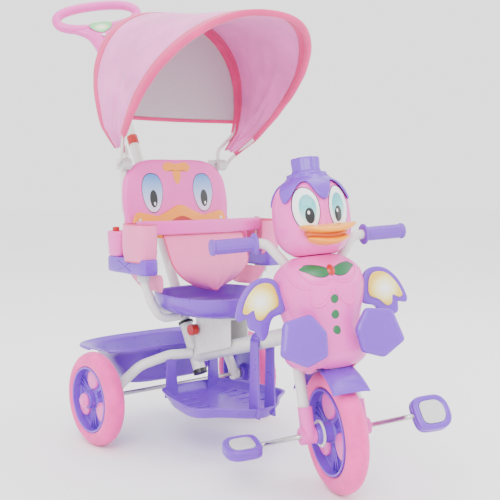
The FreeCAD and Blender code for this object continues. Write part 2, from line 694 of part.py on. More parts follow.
def hoop(radius, lean, foot_x, low):
    a = math.radians(lean)
    foot = V(-foot_x, -low * math.sin(a), CANOPY_Z + low * math.cos(a))
    knee = V(-foot_x, -(low + 22) * math.sin(a), CANOPY_Z + (low + 22) * math.cos(a))
    points = [foot, knee] + hoop_points(radius, lean)
    points += [V(-p.x, p.y, p.z) for p in (knee, foot)]
    return sweep(points, HOOP_D / 2, 30)


def canopy():
    add("rear_hoop", hoop(REAR_HOOP_R, REAR_HOOP_A, CANOPY_X - 6, 14.2))
    front = hoop(FRONT_HOOP_R, FRONT_HOOP_A, CANOPY_X + 20, 2)
    pins = []
    for side in (-1, 1):
        pins.append(Part.makeCylinder(HOOP_D / 2, 30, V(side * (CANOPY_X - 8), 0, CANOPY_Z), V(side, 0, 0)))
    add("front_hoop", front.fuse(pins).removeSplitter())
    grow = HOOP_D / 2 + 3.2
    ends = ((REAR_HOOP_R, REAR_HOOP_A), (FRONT_HOOP_R, FRONT_HOOP_A))
    outer, inner = [], []
    for bag, extra in ((outer, grow + CLOTH_T), (inner, grow)):
        for radius, lean in ends:
            curve = Part.BSplineCurve()
            curve.interpolate(hoop_points(radius, lean, 9, extra))
            bag.append(curve)
    sheets = []
    for bag in (outer, inner):
        wires = [Part.Wire([c.toShape()]) for c in bag]
        sheets.append(Part.makeLoft(wires, False, True))
    sides = []
    for o, i in ((outer[0], inner[0]), (outer[-1], inner[-1])):
        sides.append(Part.makeRuledSurface(o.toShape(), i.toShape()))
    for end in (0, -1):
        feet = []
        for sheet, extra in zip(sheets, (grow + CLOTH_T, grow)):
            foot = hoop_points(REAR_HOOP_R, REAR_HOOP_A, 9, extra)[end]
            feet.append(min(sheet.Edges, key=lambda e: edge_gap(e, foot)))
        sides.append(Part.makeRuledSurface(feet[0], feet[1]))
    shell = Part.Shell(sheets[0].Faces + sheets[1].Faces + [f for s in sides for f in s.Faces])
    solid = Part.Solid(shell)
    if solid.Volume < 0:
        solid.reverse()
    add("canopy_fabric", solid)
    pts = [hoop_point(s, REAR_HOOP_R, REAR_HOOP_A, -1, -HOOP_D / 2 - 2.5) for s in
           (0.25, 0.35, 0.45, 0.55, 0.65, 0.75, 0.87, 1.0)]
    pts += [V(-p.x, p.y, p.z) for p in reversed(pts[:-1])]
    curve = Part.BSplineCurve()
    curve.interpolate(pts)
    base = Part.LineSegment(pts[-1], pts[0]).toShape()
    face = Part.Face(Part.Wire([curve.toShape(), base]))
    a = math.radians(REAR_HOOP_A)
    add("rear_window", face.extrude(V(0, math.cos(a), math.sin(a)) * 1.2))


def edge_gap(edge, point):
    """Distance from a point to the nearer end of an edge that runs across the canopy."""
    ends = [v.Point for v in edge.Vertexes]
    across = edge.BoundBox.XLength > CANOPY_HALF
    return (10000 if across else 0) + min((e - point).Length for e in ends)


# ---- front assembly, modelled straight ahead about the front axle -----------------------
def leg_route(side):
    return [V(side * FORK_HALF, 0, -2), V(side * FORK_HALF, FORK_SETBACK * 0.5, CROWN_UP - 50),
            V(side * (FORK_HALF - 2), FORK_SETBACK, CROWN_UP)]


def fork():
    crown_h = CROWN_UP
    legs = [tube(leg_route(side), LEG_D, 60) for side in (-1, 1)]
    crown = Part.makeBox(2 * FORK_HALF + 20, 40, 12, V(-FORK_HALF - 10, FORK_SETBACK - 20, crown_h))
    crown = soften(crown, 3)
    for leg in legs:
        crown = crown.cut(leg)
    hole = Part.makeCylinder(AXLE_D / 2 + RUN, 400, V(-200, 0, 0), V(1, 0, 0))
    add("fork_legs", steered(Part.makeCompound([biggest(leg.cut(hole).cut(crown)) for leg in legs])))
    stem = Part.makeCylinder(STEM_D / 2, 300, V(0, FORK_SETBACK, crown_h + 12 + SNUG))
    stem = stem.cut(Part.makeCylinder(STEM_D / 2 - STEM_WALL, 320, V(0, FORK_SETBACK, crown_h)))
    add("fork_crown", steered(crown))
    add("steering_stem", steered(stem))
    bushes = []
    for rim_h, spigot_h, end in ((-8 + SNUG, -1, HEAD_LOW), (SNUG, -14, HEAD_HIGH)):
        flange = Part.makeCylinder(HEAD_D / 2, 8 - 2 * SNUG, V(0, FORK_SETBACK, end + rim_h))
        spigot = Part.makeCylinder(HEAD_D / 2 - 4 - SNUG, 15, V(0, FORK_SETBACK, end + spigot_h))
        room = Part.makeCylinder(STEM_D / 2 + RUN, 60, V(0, FORK_SETBACK, end - 30))
        bushes.append(straight(flange.fuse(spigot).cut(room)))
    add("head_bushes", Part.makeCompound(bushes))
    covers = []
    for side in (-1, 1):
        x = side * FORK_HALF
        cover = Part.makeCylinder(17, 30, V(x - side * 13, 0, 0), V(side, 0, 0))
        shank = loft([round_wire(x, 0, 0, 13, 19, 2.6), round_wire(x, 3, 56, 13, 16, 2.6)])
        cover = cover.fuse(shank)
        cover = cover.cut(sweep(leg_route(side), LEG_D / 2 + SNUG, 60))
        cover = cover.cut(hole)
        covers.append(biggest(cover))
    add("fork_end_covers", steered(Part.makeCompound(covers)))


FENDER_GAP = 9.0


def fender():
    """Short curved mudguard over the top of the front tyre, under the fork crown."""
    r = FRONT_TYRE_D / 2 + FENDER_GAP
    half = 36.0
    ring = Part.makeCylinder(r + 3, 2 * half, V(-half, 0, 0), V(1, 0, 0))
    ring = ring.cut(Part.makeCylinder(r, 2 * half, V(-half, 0, 0), V(1, 0, 0)))
    cut_low = Part.makeBox(4 * half, 4 * r, 2 * r, V(-2 * half, -2 * r, -2 * r + r * 0.55))
    body = ring.cut(cut_low)
    crown_room = Part.makeBox(200, 60, 60, V(-100, FORK_SETBACK - 30, CROWN_UP - SNUG))
    add("front_fender", steered(body.cut(crown_room)))


# height above the fork crown, half width, half depth
BODY_RINGS = [(-22, 42, 40), (-2, 76, 66), (25, 86, 74), (72, 77, 66), (115, 88, 72), (152, 94, 75),
              (182, 86, 68),
              (204, 60, 50), (210, 44, 40)]
HEAD_RINGS = [(211, 42, 38), (226, 62, 58), (250, 76, 71), (285, 79, 75), (322, 76, 73), (350, 62, 60),
              (368, 36, 35)]
HEAD_FORWARD = 4.0           # head centre forward of the front axle
SHELL = 5.0                  # wall of the blow-moulded duck


def stack(rings, y, power, grow=0.0, steps=None):
    """Loft of ovals above the fork crown, grown outward and shifted by the given steps."""
    steps = steps or [0] * len(rings)
    wires = []
    for (h, a, b), d in zip(rings, steps):
        wires.append(round_wire(0, y, CROWN_UP + h + d, a + grow, b + grow, power))
    return loft(wires)


def duck_body(bar):
    body = stack(BODY_RINGS, 0, 2.1).cut(stack(BODY_RINGS, 0, 2.1, -SHELL, (-2, 0, 0, 0, 0, 0, 0, -4, -5)))
    # rear opening swept by the main tube as the fork turns
    gate = Part.makeCylinder(260, 118, V(0, FORK_SETBACK, CROWN_UP - 3), V(0, 0, 1), 130)
    gate.rotate(V(0, FORK_SETBACK, 0), V(0, 0, 1), 25)
    stem_room = Part.makeCylinder(STEM_D / 2 + SNUG, 120, V(0, FORK_SETBACK, CROWN_UP + 160))
    wheel = Part.makeCylinder(FRONT_TYRE_D / 2 + FENDER_GAP + 4, 80, V(-40, 0, 0), V(1, 0, 0))
    corner = V(-FORK_HALF - 12, FORK_SETBACK - 22, CROWN_UP - 17)
    crown_room = Part.makeBox(2 * FORK_HALF + 24, 44, 30, corner)
    legs = [sweep(leg_route(side), LEG_D / 2 + 0.5, 60) for side in (-1, 1)]
    add("duck_body", steered(biggest(body.cut([gate, stem_room, wheel, crown_room, bar] + legs))))


def duck_head(bar):
    y = -HEAD_FORWARD
    hollow = stack(HEAD_RINGS, y, 2.0, -SHELL, (5, 2, 0, 0, 0, -2, -5))
    skull = stack(HEAD_RINGS, y, 2.0).cut(hollow).cut(bar)
    stem_room = Part.makeCylinder(STEM_D / 2 + SNUG, 120, V(0, FORK_SETBACK, CROWN_UP + 160))
    add("duck_head", steered(skull.cut(stem_room)))
    around = stack(HEAD_RINGS, y, 2.0, SNUG)
    cap = stack([(350, 61, 59), (363, 56, 54), (380, 26, 25)], y, 2.0).cut(around)
    stub = stack([(378, 23, 22), (408, 25, 24)], y, 2.4)
    add("duck_crown", steered(biggest(cap.fuse(stub))))
    bill = loft([round_wire(0, -56 + y, CROWN_UP + 222, 28, 20, 2.2),
                 round_wire(0, -76 + y, CROWN_UP + 232, 52, 34, 2.4),
                 round_wire(0, -80 + y, CROWN_UP + 252, 57, 34, 2.4),
                 round_wire(0, -66 + y, CROWN_UP + 268, 40, 22, 2.2)])
    add("duck_bill", steered(biggest(bill.cut(around))))


def duck_limbs():
    blank = stack(BODY_RINGS, 0, 2.1, SNUG)
    wing = [(-84, 110), (-92, 160), (-112, 176), (-142, 172), (-168, 148), (-184, 112), (-180, 98),
            (-164, 104), (-160, 82), (-148, 74), (-138, 56), (-126, 64), (-112, 96)]
    wing_plate = moved(plate(wing, 12, smooth=True), V(0, -22, CROWN_UP))
    wing_plate = biggest(wing_plate.cut(blank))
    add("wings", steered(Part.makeCompound([wing_plate, mirrored(wing_plate)])))
    foot = [(-50, -22), (-34, 40), (22, 50), (50, 12), (44, -34), (0, -50)]
    foot_plate = soften(plate(foot, 14), 5)
    foot_plate.rotate(V(0, 0, 0), V(1, 0, 0), -8)
    foot_plate = biggest(moved(foot_plate, V(-80, -94, CROWN_UP + 50)).cut(blank))
    ankle = rod(V(-52, -84, CROWN_UP + 46), V(-52, -60, CROWN_UP + 46), 9).cut(blank).cut(foot_plate)
    foot_plate = foot_plate.fuse(biggest(ankle))
    add("foot_plates", steered(Part.makeCompound([foot_plate, mirrored(foot_plate)])))


def duck():
    bar = bar_sweep(BAR_D / 2 + SNUG)
    duck_body(bar)
    duck_head(bar)
    duck_limbs()


def bar_points():
    half = BAR_HALF - 4
    y = FORK_SETBACK - 6
    high = CROWN_UP + BAR_RISE
    low = high - 60
    return [V(-half, y, high), V(-96, y, high), V(-48, y, low),
            V(48, y, low), V(96, y, high), V(half, y, high)]


def bar_sweep(radius):
    return sweep(bar_points(), radius, 30)


def handlebar():
    bar = bar_sweep(BAR_D / 2).cut(bar_sweep(BAR_D / 2 - TUBE_WALL))
    stem = Part.makeCylinder(STEM_D / 2 + SNUG, 320, V(0, FORK_SETBACK, CROWN_UP))
    bar = bar.cut(stem)
    add("handlebar", steered(biggest(bar)))
    y = FORK_SETBACK - 6
    x0 = -BAR_HALF
    grip = spun([(x0, 0), (x0, GRIP_D / 2), (x0 + 6, GRIP_D / 2 + 1), (x0 + 10, GRIP_D / 2 - 2),
                 (x0 + GRIP_L - 6, GRIP_D / 2 - 2), (x0 + GRIP_L - 6, GRIP_D / 2 + 6),
                 (x0 + GRIP_L, GRIP_D / 2 + 6), (x0 + GRIP_L, 0)])
    high = CROWN_UP + BAR_RISE
    grip = moved(grip, V(0, y, high))
    grip = grip.cut(Part.makeCylinder(BAR_D / 2 + SNUG, GRIP_L, V(x0 + 4 - SNUG, y, high), V(1, 0, 0)))
    add("grips", steered(Part.makeCompound([grip, mirrored(grip)])))


def front_wheel():
    bore = AXLE_D / 2 + SNUG
    add("front_tyre", steered(tyre(FRONT_TYRE_D)))
    add("front_rim", steered(rim(FRONT_TYRE_D, bore, FORK_HALF - 13 - CLEAR)))


def crank_end(side):
    """Direction of one crank arm from the wheel centre: the right one points rearward and down."""
    t = math.radians(CRANK_REST + RAKE)
    return V(0, -side * math.cos(t), side * math.sin(t)) * CRANK_R


def crank():
    points = []
    for side in (-1, 1):
        end = crank_end(side)
        run = [V(side * (PEDAL_MID + PEDAL_L / 2 - 4), 0, 0) + end, V(side * CRANK_KNEE, 0, 0) + end,
               V(side * CRANK_FOOT, 0, 0)]
        points += run if side < 0 else list(reversed(run))
    add("crank", steered(sweep(points, AXLE_D / 2, 14)))


def pedals():
    for name, side in (("right", -1), ("left", 1)):
        lean = math.radians(20 if side < 0 else 62)
        centre = V(side * PEDAL_MID, 0, 0) + crank_end(side)
        block = loft([round_wire(0, 0, -PEDAL_T / 2, PEDAL_L / 2, PEDAL_W / 2, 4.0),
                      round_wire(0, 0, PEDAL_T / 2, PEDAL_L / 2, PEDAL_W / 2, 4.0)])
        pads = []
        for low in (-PEDAL_T / 2, PEDAL_T / 2 - PAD_T):
            corner = V(-PEDAL_L / 2 + PAD_EDGE, -PEDAL_W / 2 + PAD_EDGE, low)
            recess = Part.makeBox(PEDAL_L - 2 * PAD_EDGE, PEDAL_W - 2 * PAD_EDGE, PAD_T, corner)
            block = block.cut(recess)
            pad = Part.makeBox(PEDAL_L - 2 * PAD_EDGE - 1, PEDAL_W - 2 * PAD_EDGE - 1, PAD_T - 2 * SNUG)
            pads.append(moved(pad, corner + V(0.5, 0.5, SNUG)))
        bore_foot = V(-PEDAL_L / 2 - 5, 0, 0)
        block = block.cut(Part.makeCylinder(AXLE_D / 2 + RUN, PEDAL_L + 10, bore_foot, V(1, 0, 0)))
        out = []
        for piece in [block] + pads:
            piece.rotate(V(0, 0, 0), V(1, 0, 0), math.degrees(lean))
            piece.translate(centre)
            out.append(steered(piece))
        add("pedal_" + name, Part.makeCompound(out))


# ---- build ------------------------------------------------------------------------------
def build():
    rear_wheels()
    rear_axle()
    frame_tubes()
    seat_bracket()
    pole()
    push_handle()
    seat()
    backrest()
    back_frame()
    armrests()
    bar_hinge()
    safety_bar()
    soft_panels()
    rear_basket()
    footrest()
    canopy()
    fork()
    fender()
    duck()
    handlebar()
    front_wheel()
    crank()
    pedals()


def origin_shift():
    box = FreeCAD.BoundBox()
    for shape in PARTS.values():
        box.add(shape.optimalBoundingBox())
    return V(-(box.XMin + box.XMax) / 2, -(box.YMin + box.YMax) / 2, -box.ZMin), box


build()
SHIFT, BOX = origin_shift()
os.makedirs("parts", exist_ok=True)
for node, shape in PARTS.items():
    shape.translate(SHIFT)
    shape.exportStep("parts/" + node + ".step")
print("shift", SHIFT, "size", BOX.XLength, BOX.YLength, BOX.ZLength, "nodes", len(PARTS))
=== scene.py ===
"""Children's tricycle with a duck-shaped steering head: looks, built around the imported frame."""
import json
import math

import bpy
from mathutils import Matrix, Vector, noise
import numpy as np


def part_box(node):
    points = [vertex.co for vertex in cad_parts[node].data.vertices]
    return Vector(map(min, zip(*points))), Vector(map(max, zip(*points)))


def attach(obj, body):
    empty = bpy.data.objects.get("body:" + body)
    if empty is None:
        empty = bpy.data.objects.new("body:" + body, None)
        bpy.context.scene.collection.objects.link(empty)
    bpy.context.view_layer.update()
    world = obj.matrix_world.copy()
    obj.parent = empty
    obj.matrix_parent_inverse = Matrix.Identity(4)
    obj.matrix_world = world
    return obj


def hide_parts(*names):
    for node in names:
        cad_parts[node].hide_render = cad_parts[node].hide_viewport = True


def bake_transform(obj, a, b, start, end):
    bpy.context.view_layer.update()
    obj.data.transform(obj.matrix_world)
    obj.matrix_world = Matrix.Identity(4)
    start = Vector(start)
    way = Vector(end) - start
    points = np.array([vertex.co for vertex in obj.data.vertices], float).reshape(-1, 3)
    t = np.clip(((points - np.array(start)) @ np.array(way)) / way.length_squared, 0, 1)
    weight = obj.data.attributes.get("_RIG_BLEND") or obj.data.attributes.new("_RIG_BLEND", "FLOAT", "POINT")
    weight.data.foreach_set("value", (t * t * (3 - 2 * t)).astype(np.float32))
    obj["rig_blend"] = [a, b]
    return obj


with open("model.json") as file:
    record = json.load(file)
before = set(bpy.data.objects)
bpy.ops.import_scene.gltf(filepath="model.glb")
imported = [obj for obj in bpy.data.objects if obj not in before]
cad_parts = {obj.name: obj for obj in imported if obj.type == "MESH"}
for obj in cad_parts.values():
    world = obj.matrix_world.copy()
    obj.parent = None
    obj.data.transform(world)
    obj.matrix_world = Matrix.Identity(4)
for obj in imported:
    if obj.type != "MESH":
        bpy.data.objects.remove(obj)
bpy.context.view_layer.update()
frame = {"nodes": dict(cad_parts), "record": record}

TAU = 2 * math.pi
MM = 0.001
SIDES = ((1, "left"), (-1, "right"))
LETTER = {1: "l", -1: "r"}


# ---- places taken from the frame --------------------------------------------------------
def joint(name):
    return next(j for j in frame["record"]["behaviour"]["joints"] if j["name"] == name)


def middle(node):
    low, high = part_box(node)
    return (low + high) / 2


REAR_Y = middle("rear_axle").y
TYRE_R = middle("rear_axle").z
PIVOT = Vector(joint("canopy_fold")["pos_m"])


def at(x, forward, z):
    """A point in millimetres, measured forward of the rear axle and up from the floor."""
    return Vector((x * MM, REAR_Y - forward * MM, z * MM))


def from_axle(v):
    """Millimetres behind the rear axle (y) and up from the floor, to metres."""
    return Vector((v.x * MM, REAR_Y + v.y * MM, v.z * MM))


def front_matrix():
    """Millimetres about the front axle, up the steering axis, to metres in the row frame."""
    x = Vector(joint("front_wheel_spin")["axis"])
    z = Vector(joint("steering")["axis"])
    y = z.cross(x)
    m = Matrix((x, y, z)).transposed().to_4x4() @ Matrix.Scale(MM, 4)
    m.translation = Vector(joint("front_wheel_spin")["pos_m"])
    return m


FRONT = front_matrix()
SETBACK = 20.0               # steering axis behind the front axle, as in the fork


# ---- materials --------------------------------------------------------------------------
def rgb(r, g, b):
    def linear(c):
        c /= 255
        return c / 12.92 if c <= 0.04045 else ((c + 0.055) / 1.055) ** 2.4
    return (linear(r), linear(g), linear(b), 1)


def rich(r, g, b):
    """A deeper base colour for the bright studio."""
    return tuple(c ** 1.35 for c in rgb(r, g, b)[:3]) + (1,)


def tinted(colour, k):
    return tuple(min(1, c * k) for c in colour[:3]) + (1,)


class Mat:
    """A small helper that wires one node material."""

    def __init__(self, name, rough=0.35, **sockets):
        self.mat = bpy.data.materials.new(name)
        self.mat.use_nodes = True
        self.tree = self.mat.node_tree
        self.shader = self.tree.nodes["Principled BSDF"]
        self.shader.inputs["Roughness"].default_value = rough
        for key, value in sockets.items():
            self.shader.inputs[key.replace("_", " ")].default_value = value
        self.coords = self.tree.nodes.new("ShaderNodeTexCoord")

    def node(self, kind, **values):
        n = self.tree.nodes.new("ShaderNode" + kind)
        for key, value in values.items():
            if key in n.inputs:
                n.inputs[key].default_value = value
            else:
                setattr(n, key, value)
        return n

    def link(self, a, b):
        self.tree.links.new(a, b)

    def noise(self, scale, detail=3.0, source="Object"):
        n = self.node("TexNoise", Scale=scale, Detail=detail)
        self.link(self.coords.outputs[source], n.inputs["Vector"])
        return n.outputs["Fac"]

    def ramp(self, fac, stops):
        n = self.node("ValToRGB")
        self.link(fac, n.inputs["Fac"])
        ramp = n.color_ramp
        while len(ramp.elements) < len(stops):
            ramp.elements.new(0.5)
        for element, (place, colour) in zip(ramp.elements, stops):
            element.position = place
            element.color = colour
        return n.outputs["Color"]

    def colour(self, output):
        self.link(output, self.shader.inputs["Base Color"])

    def rough(self, fac, low, high):
        n = self.node("MapRange")
        n.inputs["To Min"].default_value = low
        n.inputs["To Max"].default_value = high
        self.link(fac, n.inputs["Value"])
        self.link(n.outputs["Result"], self.shader.inputs["Roughness"])

    def bump(self, height, strength, distance=0.001):
        n = self.node("Bump", Strength=strength, Distance=distance)
        self.link(height, n.inputs["Height"])
        if self.shader.inputs["Normal"].is_linked:
            before = self.shader.inputs["Normal"].links[0].from_socket
            self.link(before, n.inputs["Normal"])
        self.link(n.outputs["Normal"], self.shader.inputs["Normal"])


def plastic(name, colour, rough=0.3, wear=0.05):
    """Moulded plastic: faint orange peel, slight colour drift and uneven gloss."""
    m = Mat(name, rough)
    m.shader.inputs["Coat Weight"].default_value = 0.15
    m.shader.inputs["Coat Roughness"].default_value = 0.2
    m.shader.inputs["Subsurface Weight"].default_value = 0.06
    m.shader.inputs["Subsurface Radius"].default_value = (0.01, 0.005, 0.006)
    drift = m.noise(9.0)
    m.colour(m.ramp(drift, [(0.3, tinted(colour, 1 - wear)), (0.7, tinted(colour, 1 + wear))]))
    m.rough(m.noise(40.0), rough - 0.05, rough + 0.08)
    m.bump(m.noise(900.0, 2.0), 0.02, 0.0002)
    m.bump(m.noise(60.0, 2.0), 0.03, 0.001)
    return m.mat


def cloth(name, colour, thread=1400.0, strength=0.35, rough=0.8, sheen=0.3, wear=0.10):
    """Woven cloth: two crossed thread waves, blotchy colour and soft sheen."""
    m = Mat(name, rough)
    m.shader.inputs["Sheen Weight"].default_value = sheen
    m.shader.inputs["Sheen Roughness"].default_value = 0.4
    waves = []
    for axis in ("X", "Z"):
        w = m.node("TexWave", Scale=thread / 6, Distortion=0.4, Detail=1.0)
        w.bands_direction = axis
        m.link(m.coords.outputs["Object"], w.inputs["Vector"])
        waves.append(w.outputs["Fac"])
    both = m.node("Math", operation="MAXIMUM")
    m.link(waves[0], both.inputs[0])
    m.link(waves[1], both.inputs[1])
    drift = m.noise(14.0, 4.0)
    m.colour(m.ramp(drift, [(0.3, tinted(colour, 1 - wear)), (0.7, tinted(colour, 1 + wear))]))
    m.rough(m.noise(50.0), rough - 0.08, rough + 0.08)
    m.bump(both.outputs["Value"], strength, 0.0003)
    m.bump(m.noise(45.0, 4.0), 0.25, 0.002)
    return m.mat


def paint(name, colour, rough=0.28):
    """Powder coat on steel: fine orange peel, gloss and a little grime."""
    m = Mat(name, rough)
    m.shader.inputs["Coat Weight"].default_value = 0.3
    m.shader.inputs["Coat Roughness"].default_value = 0.12
    grime = m.noise(22.0, 5.0)
    m.colour(m.ramp(grime, [(0.25, tinted(colour, 0.90)), (0.6, colour)]))
    m.rough(m.noise(70.0), rough - 0.08, rough + 0.10)
    m.bump(m.noise(420.0, 3.0), 0.08, 0.0005)
    return m.mat


def metal(name, colour, rough=0.3):
    m = Mat(name, rough)
    m.shader.inputs["Metallic"].default_value = 1.0
    m.colour(m.ramp(m.noise(60.0), [(0.3, tinted(colour, 0.85)), (0.7, colour)]))
    m.rough(m.noise(160.0), rough - 0.08, rough + 0.14)
    m.bump(m.noise(500.0), 0.06, 0.0004)
    return m.mat


def foam(name, colour):
    """Foamed tyre rubber: matt, pitted, with scuffed lighter patches."""
    m = Mat(name, 0.62)
    m.shader.inputs["Sheen Weight"].default_value = 0.15
    scuff = m.noise(28.0, 5.0)
    m.colour(m.ramp(scuff, [(0.3, tinted(colour, 0.90)), (0.52, colour), (0.75, tinted(colour, 1.16))]))
    m.rough(m.noise(60.0), 0.5, 0.75)
    pits = m.node("TexVoronoi", Scale=420.0)
    m.link(m.coords.outputs["Object"], pits.inputs["Vector"])
    m.bump(pits.outputs["Distance"], 0.18, 0.0008)
    m.bump(m.noise(130.0, 4.0), 0.25, 0.0012)
    return m.mat


def mesh_cloth(name, colour):
    """Fine open mesh: rows of small round holes shown as dark dots of painted shade with raised yarn between.
    """
    m = Mat(name, 0.7)
    m.shader.inputs["Sheen Weight"].default_value = 0.2
    scale = m.node("Mapping")
    scale.inputs["Scale"].default_value = (330, 330, 330)
    m.link(m.coords.outputs["UV"], scale.inputs["Vector"])
    shaded_holes = m.node("TexVoronoi", Scale=1.0, Randomness=0.0)
    shaded_holes.voronoi_dimensions = "2D"
    m.link(scale.outputs["Vector"], shaded_holes.inputs["Vector"])
    # painted shade: each hole is darkened to a deeper grey at its middle to stand for the shade seen through
    # the mesh
    m.colour(m.ramp(shaded_holes.outputs["Distance"], [(0.16, tinted(colour, 0.62)), (0.34, colour)]))
    m.bump(shaded_holes.outputs["Distance"], 0.5, 0.0006)
    return m.mat


def printed(name, rough):
    """Printed film with a gloss top coat."""
    m = Mat(name, rough)
    m.shader.inputs["Coat Weight"].default_value = 0.4
    m.bump(m.noise(300.0), 0.03, 0.0004)
    return m


def gradient(name, stops):
    """Printed film whose colour runs up the piece's own UV."""
    m = printed(name, 0.25)
    split = m.node("SeparateXYZ")
    m.link(m.coords.outputs["UV"], split.inputs["Vector"])
    m.colour(m.ramp(split.outputs[1], stops))
    return m.mat


def radial(name, stops):
    """Printed film whose colour runs outward from the middle of its UV."""
    m = printed(name, 0.3)
    offset = m.node("VectorMath", operation="SUBTRACT")
    offset.inputs[1].default_value = (0.5, 0.5, 0)
    m.link(m.coords.outputs["UV"], offset.inputs[0])
    length = m.node("VectorMath", operation="LENGTH")
    m.link(offset.outputs["Vector"], length.inputs[0])
    m.colour(m.ramp(length.outputs["Value"], stops))
    return m.mat


PINK = rich(240, 112, 200)
PURPLE = rich(140, 78, 208)
M = {
    "cream_paint": paint("cream_paint", rgb(222, 222, 216)),
    "grey_plastic": plastic("grey_plastic", rgb(198, 200, 198), 0.4),
    "black_plastic": plastic("black_plastic", rgb(24, 24, 26), 0.4),
    "zinc_steel": metal("zinc_steel", rgb(205, 205, 200)),
    "purple_plastic": plastic("purple_plastic", PURPLE, 0.28),
    "purple_grip": plastic("purple_grip", rich(142, 86, 204), 0.5),
    "pink_plastic": plastic("pink_plastic", PINK, 0.3),
    "yellow_plastic": plastic("yellow_plastic", rich(244, 172, 0), 0.28),
    "orange_plastic": plastic("orange_plastic", rich(222, 120, 8), 0.35),
    "red_plastic": plastic("red_plastic", rich(196, 26, 36), 0.3),
    "green_plastic": plastic("green_plastic", rich(30, 130, 84), 0.35),
    "pink_tyre": foam("pink_tyre", rich(242, 84, 178)),
    "pink_vinyl": cloth("pink_vinyl", rich(240, 140, 188), 900.0, 0.12, 0.5, 0.15, 0.05),
    "vinyl_trim": cloth("vinyl_trim", rich(224, 84, 140), 900.0, 0.12, 0.5, 0.15, 0.05),
    "canopy_cloth": cloth("canopy_cloth", rich(238, 150, 210)),
    "canopy_hem": cloth("canopy_hem", rich(228, 84, 150)),
    "window_mesh": mesh_cloth("window_mesh", rgb(196, 199, 198)),
    "eye_white": plastic("eye_white", rgb(236, 238, 242), 0.25, 0.02),
    "dark_line": plastic("dark_line", rgb(48, 30, 66), 0.35),
    "ink_black": plastic("ink_black", rgb(14, 14, 18), 0.2),
    "iris": gradient("iris", [(0.05, rgb(200, 235, 235)), (0.55, rgb(90, 190, 196)),
                              (1.0, rgb(40, 150, 160))]),
    "print_blue": gradient("print_blue", [(0.05, rgb(226, 206, 232)), (0.45, rgb(170, 196, 232)),
                                          (1.0, rgb(40, 130, 210))]),
    "wing_print": radial("wing_print", [(0.05, rgb(244, 246, 246)), (0.30, rgb(240, 226, 140)),
                                        (0.44, rgb(226, 190, 60))]),
    "badge_green": radial("badge_green", [(0.1, rgb(228, 236, 200)), (0.35, rgb(120, 196, 130))]),
}

SLOTS = {s["node"]: s["material_slot"] for s in frame["record"]["subparts"]}
for node, obj in frame["nodes"].items():
    finish_mat = M[SLOTS[node]]
    obj.data.materials.clear()
    obj.data.materials.append(finish_mat)


# ---- mesh helpers -----------------------------------------------------------------------
def make(name, verts, faces, mat, body, matrix=None, replaces=(), subdiv=0, uvs=None,
         thick=0.0, offset=0.0):
    """One mesh piece that rides on a body; verts are metres, or millimetres under a matrix."""
    mesh = bpy.data.meshes.new(name)
    mesh.from_pydata([tuple(v) for v in verts], [], faces)
    if uvs:
        layer = mesh.uv_layers.new(name="UVMap")
        for loop in mesh.loops:
            layer.data[loop.index].uv = uvs[loop.vertex_index]
    if matrix is not None:
        mesh.transform(matrix)
    mesh.validate()
    obj = bpy.data.objects.new(name, mesh)
    bpy.context.collection.objects.link(obj)
    mesh.materials.append(M[mat])
    for p in mesh.polygons:
        p.use_smooth = True
    if thick:
        s = obj.modifiers.new("thick", "SOLIDIFY")
        s.thickness = thick * MM
        s.offset = offset
        s.use_even_offset = True
    if subdiv:
        s = obj.modifiers.new("subdiv", "SUBSURF")
        s.levels = subdiv
        s.render_levels = subdiv
    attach(obj, body)
    if replaces:
        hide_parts(*replaces)
    return obj


OPEN = (False, False)         # caps of a skin that is open at both ends


def skin(rows, wrap=True, caps=(True, True)):
    """Quads between rows of points; wrap closes each row, caps fill the first and last rows."""
    n = len(rows[0])
    verts = [v for row in rows for v in row]
    faces = []
    for r in range(len(rows) - 1):
        for c in range(n if wrap else n - 1):
            d = (c + 1) % n
            faces.append((r * n + c, r * n + d, (r + 1) * n + d, (r + 1) * n + c))
    if caps[0]:
        verts.append(sum((Vector(v) for v in rows[0]), Vector()) / n)
        k = len(verts) - 1
        faces += [(k, (c + 1) % n, c) for c in range(n)]
    if caps[1]:
        verts.append(sum((Vector(v) for v in rows[-1]), Vector()) / n)
        k = len(verts) - 1
        base = (len(rows) - 1) * n
        faces += [(k, base + c, base + (c + 1) % n) for c in range(n)]
    return verts, faces


def loop_skin(rows):
    """As skin with open ends, with the last row joined to the first."""
    verts, faces = skin(rows + rows[:1], True, OPEN)
    last = len(rows) * len(rows[0])
    return verts[:last], [tuple(i % last for i in f) for f in faces]


def oval(cx, cy, z, a, b, power=2.0, count=64):
    """A level superellipse."""
    out = []
    for i in range(count):
        t = TAU * i / count
        c, s = math.cos(t), math.sin(t)
        out.append(Vector((cx + a * math.copysign(abs(c) ** (2 / power), c),
                           cy + b * math.copysign(abs(s) ** (2 / power), s), z)))
    return out


def smooth_steps(table, count):
    """Catmull-Rom samples through the rows of a small table of section sizes."""
    out = []
    last = len(table) - 1
    for i in range(count + 1):
        t = last * i / count
        k = min(int(t), last - 1)
        u = t - k
        rows = [table[max(k - 1, 0)], table[k], table[k + 1], table[min(k + 2, last)]]
        out.append(tuple(
            0.5 * (2 * q + (r - p) * u + (2 * p - 5 * q + 4 * r - s) * u * u + (3 * q - p - 3 * r + s)
                   * u ** 3)
            for p, q, r, s in zip(*rows)))
    return out


def tube_along(points, radius, count=20, closed=False, squash_z=1.0, up=Vector((0, 0, 1))):
    """Rings of a round or flattened tube along a list of points."""
    rings = []
    n = len(points)
    for i, p in enumerate(points):
        before = points[i - 1] if (i or closed) else p
        after = points[(i + 1) % n] if (i < n - 1 or closed) else p
        d = (after - before).normalized()
        side = d.cross(up)
        if side.length < 1e-4:
            side = d.cross(Vector((0, 1, 0)))
        side.normalize()
        top = side.cross(d).normalized()
        r = radius(i / (n - 1)) if callable(radius) else radius
        rings.append([p + side * (r * math.cos(TAU * k / count)) + top
                      * (r * squash_z * math.sin(TAU * k / count))
                      for k in range(count)])
    if closed:
        rings.append(rings[0])
    return rings


